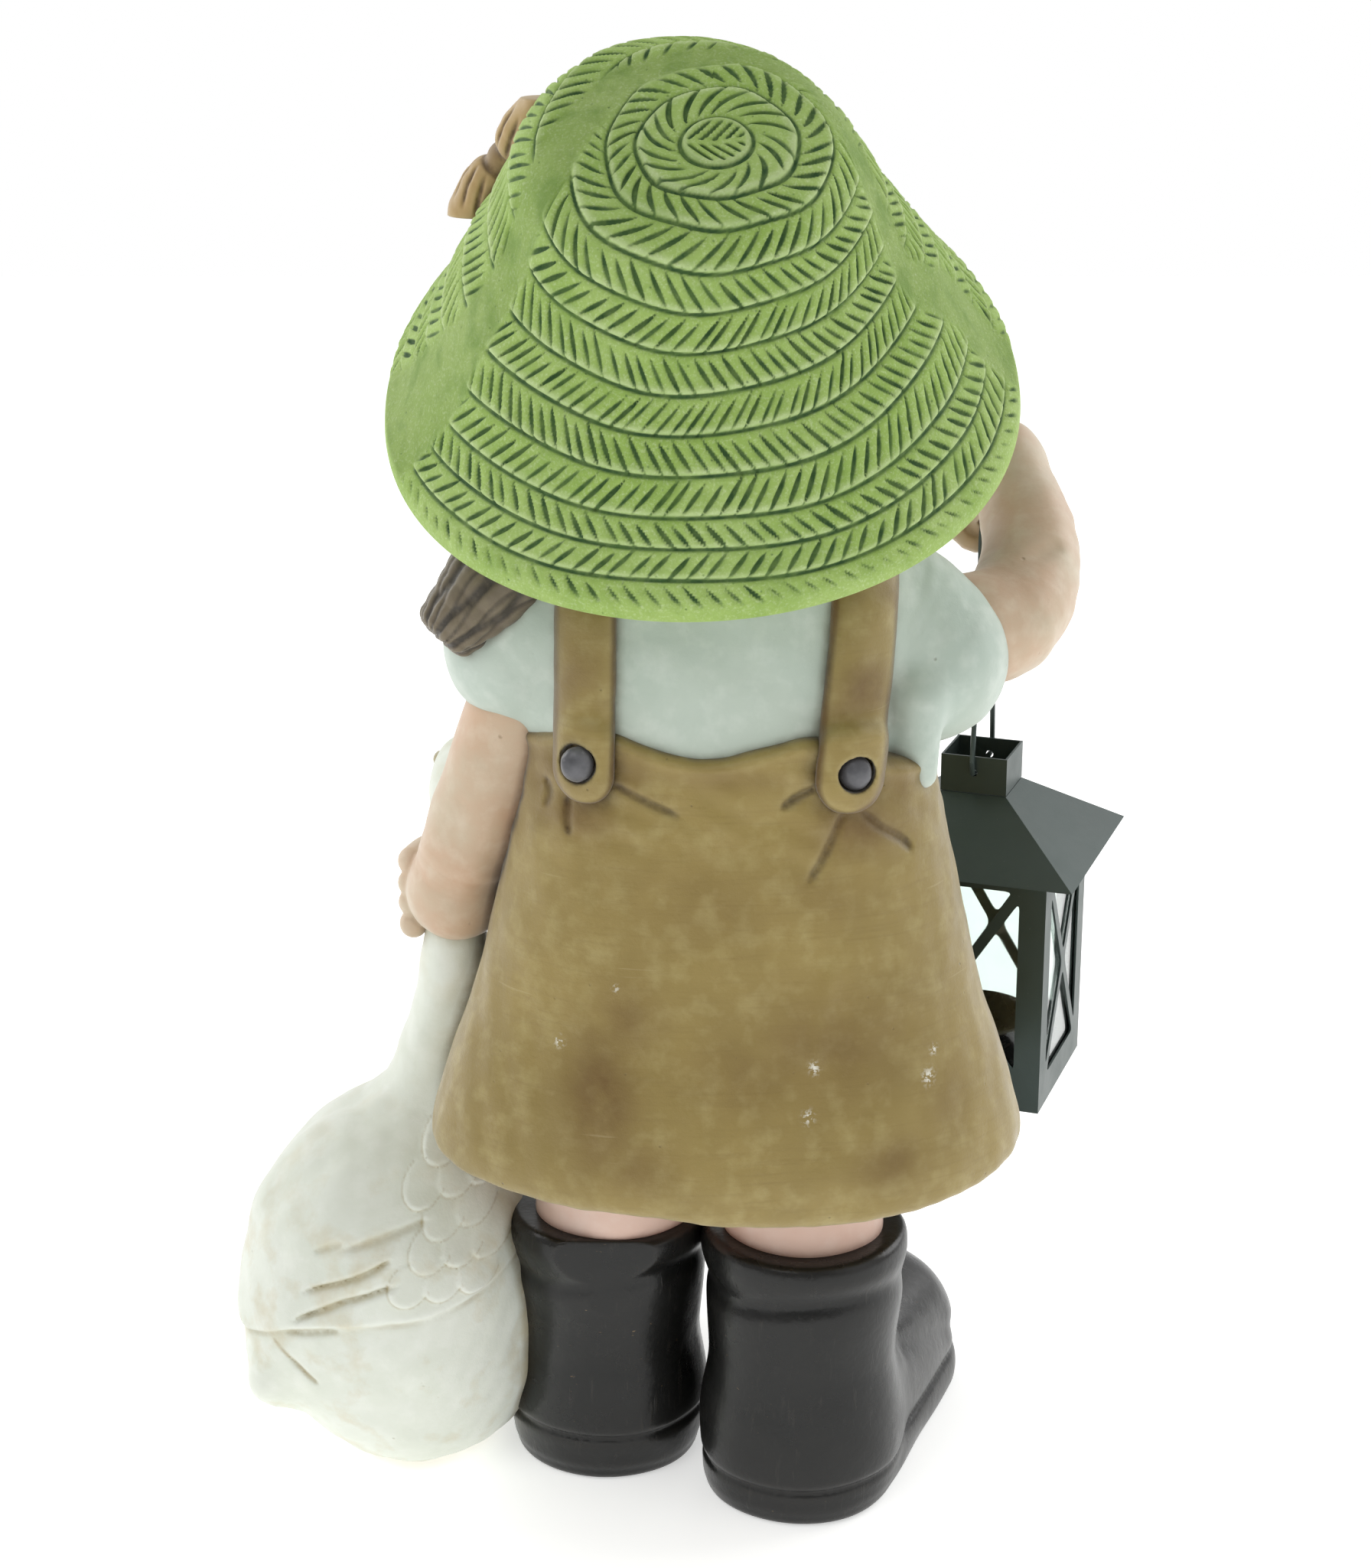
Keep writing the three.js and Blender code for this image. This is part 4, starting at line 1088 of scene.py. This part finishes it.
# ---- arms and legs ----
def arm_left_shape(p):
    d = limb(p, ((68, 0, 352), (84, -4, 305), (97, -9, 270), (103, -13, 255)), (20, 19.5, 18.5, 16), 12)
    hand = ellipsoid(p, (103.5, -17, 246), (19.5, 18, 20))
    d = union(d, hand, 4)
    for index in range(4):
        z = 256 - 8.6 * index
        finger = limb(p, ((121, -22, z), (115, -40, z - 1), (100, -44, z - 2), (90, -36, z - 2)), (5.6, 5.8, 5.2, 4.6), 8)
        d = union(d, finger, 1.6)
    thumb = limb(p, ((92, -14, 258), (88, -30, 262), (96, -42, 266)), (6.5, 6.2, 5.4), 7)
    d = union(d, thumb, 3)
    wrist, _ = line_distance(p, ((122, 2, 262), (112, 8, 258), (98, 8, 254), (88, 2, 252)))
    d = d + 2.0 * np.exp(-((wrist / 3.2) ** 2))
    elbow, _ = line_distance(p, ((118, 4, 268), (108, 10, 276), (99, 12, 290)))
    d = d + 0.9 * np.exp(-((elbow / 3.0) ** 2))
    return d + 0.5 * waves(p, 15, 51, 6)


def lantern_local(p):
    c, s = math.cos(LANTERN_TURN), math.sin(LANTERN_TURN)
    q = p - LANTERN_AT
    return np.stack([q[:, 0] * c + q[:, 1] * s, -q[:, 0] * s + q[:, 1] * c, q[:, 2]], -1)


def from_lantern(q):
    c, s = math.cos(LANTERN_TURN), math.sin(LANTERN_TURN)
    q = np.atleast_2d(q)
    turned = np.stack([q[:, 0] * c - q[:, 1] * s, q[:, 0] * s + q[:, 1] * c, q[:, 2]], -1)
    return turned + LANTERN_AT


def arm_right_shape(p):
    fist = from_lantern((0, 0, FIST_RIGHT_Z))[0]
    d = limb(p, ((-72, -10, 350), (-108, -28, 352), (-120, -58, 372), (-112, -90, 400)), (23, 21.5, 19, 15), 16)
    d = union(d, limb(p, ((-112, -88, 400), fist + np.array([0, 8, 6])), (14.5, 11), 5), 6)
    q = lantern_local(p)
    d = union(d, ellipsoid(q, (0, 0, FIST_RIGHT_Z), (16.5, 11, 16)), 5)
    for index in range(4):
        y = -8.4 + 5.6 * index
        finger = limb(q, ((12, y, FIST_RIGHT_Z + 8), (15, y, FIST_RIGHT_Z - 3), (6, y, FIST_RIGHT_Z - 13),
                          (-6, y, FIST_RIGHT_Z - 11)), (3.4, 3.5, 3.3, 3.0), 9)
        d = union(d, finger, 1.0)
    thumb = limb(q, ((-12, -4, FIST_RIGHT_Z + 6), (-16, 0, FIST_RIGHT_Z - 5), (-9, 3, FIST_RIGHT_Z - 13)), (5, 4.4, 3.8), 7)
    d = union(d, thumb, 1.5)
    fold, _ = line_distance(p, ((-84, -30, 380), (-98, -20, 376), (-114, -26, 378), (-126, -38, 376)))
    d = d + 1.8 * np.exp(-((fold / 4.0) ** 2))
    tunnel = np.hypot(q[:, 0], q[:, 2] - 242) - 1.7
    d = np.maximum(d, -np.where(np.abs(q[:, 1]) < 16, tunnel, 9))
    return d + 0.7 * waves(p, 15, 53, 6)


def leg_shape(foot, hip):
    def shape(p):
        return limb(p, (foot, hip), (31.5, 33), 3) + 0.4 * waves(p, 18, 57)
    return shape


def boot(name, heel, turn, lean, ledge):
    turn = math.radians(turn)
    c, s = math.cos(turn), math.sin(turn)

    def local(p):
        x, y = p[:, 0] - heel[0], p[:, 1] - heel[1]
        return np.stack([x * c + y * s, -x * s + y * c, p[:, 2]], -1)

    def ledge_cut(q):
        return np.exp(-(((q[:, 2] - ledge - 1.5) / 1.7) ** 2))

    def rim_cut(q):
        turn_about = np.arctan2(q[:, 0], q[:, 1] - lean * q[:, 2] / BOOT_HEIGHT)
        depth = 0.55 + 0.45 * np.cos(turn_about - 0.15)
        return depth * np.exp(-(((q[:, 2] - 95 + 3 * np.sin(2 * turn_about)) / 4.5) ** 2))

    def shape(p):
        q = local(p)
        z = q[:, 2]
        along = np.clip(-q[:, 1], 0, BOOT_TOE)
        plan = length(q[:, :2] + np.stack([0 * along, along], -1))
        wide = BOOT_HALF_WIDTH - 1.2 + 1.2 * along / BOOT_TOE
        sole = common(plan - wide - 1.2 * np.sin(np.clip(z / ledge, 0, 1) * math.pi), z - ledge, 3.5)
        foot = limb(q, ((0, 0, 28), (0, -BOOT_TOE / 2, 26), (0, -BOOT_TOE, 22)), (38, 38.2, 38.4), 8)
        half = curve(z, ((0, 37), (20, 37.4), (45, 37.2), (66, 37.8), (84, 39.2), (98, 39.8), (106, 41), (114, 40)))
        shaft = length(np.stack([q[:, 0], q[:, 1] - lean * z / BOOT_HEIGHT], -1)) - half
        shaft = common(shaft, z - BOOT_HEIGHT, 4)
        shaft = common(shaft, 8 - z, 2)
        upper = union(foot, shaft, 13)
        d = union(upper, sole, 2.2)
        d = d + 1.3 * ledge_cut(q) + 1.9 * rim_cut(q)
        wrinkle = np.exp(-(((z - 60 - q[:, 1] * 0.35) / 5) ** 2)) * smoothstep(-q[:, 1], 22, 34)
        d = d + 1.5 * wrinkle * np.clip(shaft + 8, 0, 8) / 8
        d = d + 0.6 * waves(p, 24, 61, 6)
        return common(d, 0.3 - z, 3.5)

    def marks(p):
        # painted shade in the sole's ledge and in the crease below the rim
        return {"groove": 0.7 * ledge_cut(local(p)) + 0.3 * rim_cut(local(p))}

    reach = BOOT_TOE + BOOT_HALF_WIDTH + 8
    corners = np.array([[x, y] for x in (-44, 44) for y in (46, -reach)])
    spread = np.stack([corners[:, 0] * c - corners[:, 1] * s, corners[:, 0] * s + corners[:, 1] * c], -1)
    low = np.append(spread.min(0) + heel, -2)
    high = np.append(spread.max(0) + heel, BOOT_HEIGHT + 6)
    return sculpt(name, shape, low, high, 1.1, marks)


# ---- goose ----
WING_CUTS = (
    (((168, 81), (149, 91), (126, 100)), 1.3, 2.6),
    (((164, 93), (142, 102), (129, 109)), 1.2, 2.4),
    (((149, 111), (132, 116), (114, 121)), 1.7, 1.5),
    (((172, 74), (158, 77), (150, 79)), 1.4, 1.4),
    (((160, 109), (148, 114)), 1.6, 1.0),
)
COVERT_ROWS = (
    ((96, 101), (109, 100), (122, 99)),
    ((91, 112), (102, 112), (114, 111)),
    ((97, 124), (109, 122)),
    ((93, 136), (104, 135), (117, 133)),
    ((99, 148), (110, 146)),
)


def coverts(p):
    """Raised overlapping feathers on the near wing, and the painted shade at their rims."""
    lift = np.zeros(len(p))
    rim = np.zeros(len(p))
    tip = np.array([0.62, -0.78])
    side = np.array([0.78, 0.62])
    near = (p[:, 1] > -25).astype(float)
    for number, row in enumerate(COVERT_ROWS):
        for x, z in row:
            q = p[:, [0, 2]] - np.array([x, z])
            u = q @ tip / 9.5
            w = q @ side / 8.0
            inside = 1 - u * u - w * w
            height = smoothstep(inside, 0.0, 0.3) * np.clip(0.62 + 0.5 * u, 0, 1.2)
            newer = height > lift
            rim = np.where(newer, 0, rim)
            edge = np.exp(-((inside - 0.02) / 0.12) ** 2) * (u > -0.3)
            rim = np.maximum(rim, edge * 0.9)
            lift = np.maximum(lift, height)
    return lift * near, rim * near


def wing_edge(p):
    """Height of the wing's lower edge."""
    return curve(p[:, 0], ((78, 102), (86, 96), (99, 90), (112, 86), (139, 82.6), (173, 75.6), (190, 67)))


def goose_cuts(p):
    # painted shade in the wing's cuts, along its lower edge and in the tail's cuts
    near = smoothstep(p[:, 1], -30, -15)
    total = np.zeros(len(p))
    for line, width, _ in WING_CUTS:
        total = np.maximum(total, 0.5 * crease(p, line, width))
    edge = np.exp(-(((p[:, 2] - wing_edge(p) + 1.5) / 1.6) ** 2)) * (0.5 + 0.5 * waves(p, 22, 75))
    tail = crease(p, ((172, 64), (164, 56), (160, 52)), 1.2)
    tail = np.maximum(tail, crease(p, ((178, 70), (170, 62)), 1.0))
    return np.maximum(np.maximum(total, tail), edge * 0.8) * near


def goose_neck(p):
    return limb(p, ((122, -44, 118), (113, -36, 160), (106, -24, 205), (104, -22, 236), (103, -21, 250)),
                (31, 20.5, 16.2, 12.8, 11.0, 10.5), 14)


def goose_body_shape(p):
    d = ellipsoid(p, GOOSE_AT, GOOSE_HALF)
    d = union(d, ellipsoid(p, (140, -28, 95), (48, 52, 52)), 12)
    d = union(d, ellipsoid(p, (120, -30, 42), (46, 52, 43)), 12)
    d = union(d, limb(p, ((148, -16, 80), (166, -6, 62), (178, 3, 47)), (36, 26, 13), 8), 14)
    d = union(d, goose_neck(p), 26)
    near = smoothstep(p[:, 1], -30, -15)
    far = smoothstep(-p[:, 1], 50, 62)
    wing = smoothstep(p[:, 2] - wing_edge(p), -1.5, 1.5) * smoothstep(170 - p[:, 2], 0, 34)
    d = d - 2.4 * wing * near
    lift, _ = coverts(p)
    d = d - 2.1 * lift * (0.8 + 0.4 * waves(p, 25, 79))
    for line, width, depth in WING_CUTS:
        d = d + depth * crease(p, line, width) * near
    feathers = np.abs(np.sin((p[:, 2] + 0.45 * p[:, 0]) / 5.5)) ** 6
    d = d + 1.4 * feathers * far * smoothstep(p[:, 2], 60, 80) * smoothstep(130 - p[:, 2], 0, 20)
    d = d + 1.2 * crease(p, ((172, 64), (164, 56), (160, 52)), 1.2) * near
    d = d + 1.4 * waves(p, 30, 71) + 0.6 * waves(p, 11, 73, 6)
    d = common(d, 0.3 - p[:, 2], 4)
    return common(d, p[:, 2] - GOOSE_NECK_Z, 1)


def goose_marks(p):
    _, rim = coverts(p)
    # the tint grows towards the bottom
    lower_tint = np.clip(smoothstep(p[:, 2], 170, 60) + 0.3, 0, 1)
    return {"groove": np.clip(goose_cuts(p) * 0.75 + rim * 0.5, 0, 1), "lower_tint": lower_tint}


def goose_head_shape(p):
    d = limb(p, ((104, -20, 238), (103, -27, 256), (100, -42, 276)), (11.5, 12, 14), 8)
    d = union(d, ellipsoid(p, (98, -52, 281), (16.5, 22, 17.5)), 8)
    for side in (-1, 1):
        eye = np.array([98 + side * 15.5, -58, 286])
        d = less(d, length(p - eye) - 5, 3)
        d = union(d, length(p - eye + np.array([side * 2.5, 0, 0])) - 3.6, 0.6)
    d = d + 0.4 * waves(p, 14, 77)
    return common(d, GOOSE_NECK_Z + 0.4 - p[:, 2], 1)


def goose_eye_marks(p):
    eyes = np.zeros(len(p))
    for side in (-1, 1):
        eyes = np.maximum(eyes, 1 - smoothstep(length(p - np.array([98 + side * 14, -58, 286])), 3.9, 4.6))
    return {"groove": 1.1 * eyes, "lower_tint": np.full(len(p), 0.5)}


def goose_beak_shape(p):
    d = limb(p, ((97, -66, 279), (96, -78, 276), (95, -86, 273.5)), (9, 7.6, 5.6), 7)
    flat = ellipsoid(p, (96, -78, 276), (9, 17, 7))
    d = common(d, flat, 4)
    slit = np.exp(-(((p[:, 2] - 274.5 - 0.15 * (p[:, 1] + 78)) / 0.9) ** 2)) * smoothstep(-p[:, 1], 66, 72)
    return d + 1.1 * slit


def beak_marks(p):
    # painted shade in the beak's slit
    return {"groove": np.exp(-(((p[:, 2] - 274.5 - 0.15 * (p[:, 1] + 78)) / 0.9) ** 2)) * smoothstep(-p[:, 1], 66, 72)}


# ---- lantern ----
def soften_cad(node, width, material):
    """A CAD node with its own small bevels and material."""
    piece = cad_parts[node]
    piece.data.materials.clear()
    piece.data.materials.append(material)
    bevel = piece.modifiers.new("edges", "BEVEL")
    bevel.width = width * MM
    bevel.segments = 2
    bevel.limit_method = "ANGLE"
    bevel.angle_limit = math.radians(40)
    bevel.harden_normals = True


def dish():
    """The turned candle dish with a rolled lip."""
    outline = ((0, 1.5), (18, 1.5), (20, 2.2), (21, 7), (22.5, 14), (24.6, 23.5), (25.3, 25.3), (24.9, 26.2),
               (24.0, 26.0), (23.3, 24), (21.4, 14), (20.0, 7.5), (18.6, 3.2), (0, 2.6))
    reach, height, _ = outline_rows(outline, 0.9)
    columns = 144
    angle = np.arange(columns) / columns * 2 * math.pi
    around, out = np.meshgrid(angle, reach[1:-1])
    up = np.broadcast_to(height[1:-1, None], out.shape)
    points = np.stack([out * np.cos(around), out * np.sin(around), up], -1).reshape(-1, 3)
    rows = len(reach) - 2
    points = np.concatenate([points, [[0, 0, height[0]], [0, 0, height[-1]]]])
    faces = grid_faces(rows, columns)
    last = (rows - 1) * columns
    for column in range(columns):
        after = (column + 1) % columns
        faces.append((rows * columns, column, after))
        faces.append((rows * columns + 1, last + after, last + column))
    flipped = [tuple(reversed(face)) for face in faces]
    return mesh_object("candle_dish", from_lantern(points), flipped)


# ---- the figure ----
def build_figure():
    skirt_look, shirt_look, goose_look, boot_look = tan_paint(), shirt_paint(), goose_paint(), boot_paint()
    hair_look, arm_look = hair_paint(), skin_paint("arm_skin", 0xCFBDA2, 0xD0AE90, 0xEBE0CB, 0x7E6044)
    leg_look, button_look = skin_paint("leg_skin", 0xECCDBD, 0xE6C0AE, 0xF6E3D8, 0xA8776A), button_paint()
    dress(hat(), straw_paint(), ["hat"])
    dress(bow(), bow_paint(), ["hat_bow"])
    dress(head(), face_paint(), ["head"])
    eye_look = eye_paint()
    for side, label in ((1, "left"), (-1, "right")):
        ball = round_ball("eye_" + label, eye_centre(side), EYE_RADIUS)
        dress(ball, eye_look, [])
        dress(brow(side), hair_look, [])
    hair_piece = sculpt("hair_cap", hair_shape, (-66, -86, 402), (74, 56, 528), 1.0, lambda p: {"groove": hair_cuts(p)})
    dress(hair_piece, hair_look, ["hair"])
    left = pigtail("pigtail_left_cast", ((58, 4, 408), (77, 14, 386), (101, 17, 361)), (20, 21, 18.5, 13), 3)
    right = pigtail("pigtail_right_cast", ((-56, -30, 412), (-62, -50, 392), (-60, -62, 368)), (18, 21, 19, 14), 4)
    dress(left, hair_look, ["pigtail_left"])
    dress(right, hair_look, ["pigtail_right"])
    shirt = sculpt("shirt_cast", shirt_shape, (-112, -62, 296), (112, 62, 418), 1.1,
                   lambda p: {"groove": np.zeros(len(p))})
    dress(shirt, shirt_look, ["shirt"])
    skirt = sculpt("skirt_cast", skirt_shape, (-124, -88, 136), (124, 88, 338), 1.1, skirt_marks)
    dress(skirt, skirt_look, ["skirt"])
    for side, label in ((1, "left"), (-1, "right")):
        dress(strap(side), skirt_look, ["strap_" + label])
        for back, place in ((1, "back"), (-1, "front")):
            dress(button(side, back), button_look, ["strap_button_%s_%s" % (place, label)])
    no_marks = lambda p: {"groove": np.zeros(len(p))}
    arm = sculpt("arm_left_cast", arm_left_shape, (64, -56, 214), (134, 30, 380), 0.9, no_marks)
    dress(arm, arm_look, ["arm_left"])
    arm = sculpt("arm_right_cast", arm_right_shape, (-150, -132, 322), (-44, 24, 426), 0.9, no_marks)
    dress(arm, arm_look, ["arm_right"])
    for label, foot, hip in (("left", (44, -13, 100), (36, -6, 166)), ("right", (-33, 5, 100), (-30, 2, 166))):
        low = np.minimum(foot, hip) - 36.0
        high = np.maximum(foot, hip) + 36.0
        piece = sculpt("leg_%s_cast" % label, leg_shape(foot, hip), low, high, 1.2, no_marks)
        dress(piece, leg_look, ["leg_" + label])
    dress(boot("boot_left_cast", (46.5, -27), 4, 14, 20), boot_look, ["boot_left"])
    dress(boot("boot_right_cast", (-32, 8), -20, -3, 15), boot_look, ["boot_right"])
    body = sculpt("goose_body_cast", goose_body_shape, (56, -108, -3), (200, 44, 246), 1.0, goose_marks)
    dress(body, goose_look, ["goose_body"])
    piece = sculpt("goose_head_cast", goose_head_shape, (76, -80, 238), (122, 0, 306), 0.7, goose_eye_marks)
    dress(piece, goose_look, ["goose_head"])
    piece = sculpt("goose_beak_cast", goose_beak_shape, (84, -98, 262), (110, -54, 292), 0.55, beak_marks)
    dress(piece, beak_paint(), ["goose_beak"])


def build_lantern():
    metal = lantern_paint()
    glass = pane_glass()
    for node in ("lantern_frame", "lantern_base", "lantern_roof", "lantern_chimney", "lantern_door"):
        soften_cad(node, 0.25, metal)
    for node in ("lantern_bail", "door_knob", "door_hinge_pin"):
        soften_cad(node, 0.1, metal)
    for node in ("glass_back", "glass_left", "glass_right", "door_glass"):
        soften_cad(node, 0.1, glass)
    dress(dish(), dish_paint(), ["candle_cup"], "lantern")


# ---- studio ----
def sweep(tree):
    """A white backdrop for the camera that lights the object more from behind than from the camera's side."""
    nodes, links = tree.nodes, tree.links
    parts = nodes.new("ShaderNodeSeparateXYZ")
    links.new(nodes.new("ShaderNodeTexCoord").outputs["Generated"], parts.inputs[0])
    level = nodes.new("ShaderNodeMapRange")
    for key, number in (("From Min", -1.0), ("From Max", 0.8), ("To Min", BACK_LIGHT), ("To Max", FRONT_LIGHT)):
        level.inputs[key].default_value = number
    links.new(parts.outputs["Y"], level.inputs["Value"])
    seen = nodes.new("ShaderNodeMix")
    links.new(nodes.new("ShaderNodeLightPath").outputs["Is Camera Ray"], seen.inputs["Factor"])
    links.new(level.outputs["Result"], seen.inputs["A"])
    seen.inputs["B"].default_value = 1.0
    nodes["Background"].inputs["Color"].default_value = (1.0, 1.0, 1.0, 1)
    links.new(seen.outputs[0], nodes["Background"].inputs["Strength"])


def studio():
    scene = bpy.context.scene
    world = bpy.data.worlds.new("studio")
    world.use_nodes = True
    sweep(world.node_tree)
    scene.world = world
    scene.view_settings.view_transform = "Standard"
    size = 3.0
    data = bpy.data.meshes.new("floor")
    data.from_pydata([(-size, -size, 0), (size, -size, 0), (size, size, 0), (-size, size, 0)], [], [(0, 1, 2, 3)])
    floor = bpy.data.objects.new("floor", data)
    scene.collection.objects.link(floor)
    look = Look("floor_pale")
    soft = look.noise(400, 3)
    pale = look.mix(soft, 0xFBFBFA, 0xF7F8F7)
    data.materials.append(look.finish(pale, look.band(soft, 0, 1, 0.6, 0.7), Emission_Color=pale, Emission_Strength=0.55))
    for name, place, energy, wide in (
        ("key", (0.7, 1.2, 1.7), 7, 1.0), ("fill", (-1.4, 0.9, 0.9), 3, 1.4),
        ("rim_left", (1.3, -0.7, 0.9), 8, 1.0), ("rim_right", (-1.3, -0.7, 0.9), 8, 1.0),
    ):
        light = bpy.data.lights.new(name, "AREA")
        light.energy = energy
        light.size = wide
        lamp = bpy.data.objects.new(name, light)
        scene.collection.objects.link(lamp)
        lamp.location = place
        lamp.rotation_euler = (Vector((0, 0, 0.28)) - Vector(place)).to_track_quat("-Z", "Y").to_euler()


def camera():
    """Stands behind the figure and looks down on it a little."""
    lens = bpy.data.cameras.new("camera")
    lens.sensor_fit = "VERTICAL"
    lens.sensor_height = 36
    lens.lens = 70.28
    lens.clip_end = 20
    eye = bpy.data.objects.new("camera", lens)
    bpy.context.scene.collection.objects.link(eye)
    eye.location = Vector((np.array([14.3, 1100.06, 663.07]) + SHIFT) * MM)
    eye.rotation_euler = (math.radians(90 - 18.5), 0, math.pi)
    bpy.context.scene.camera = eye


build_figure()
build_lantern()
studio()
camera()
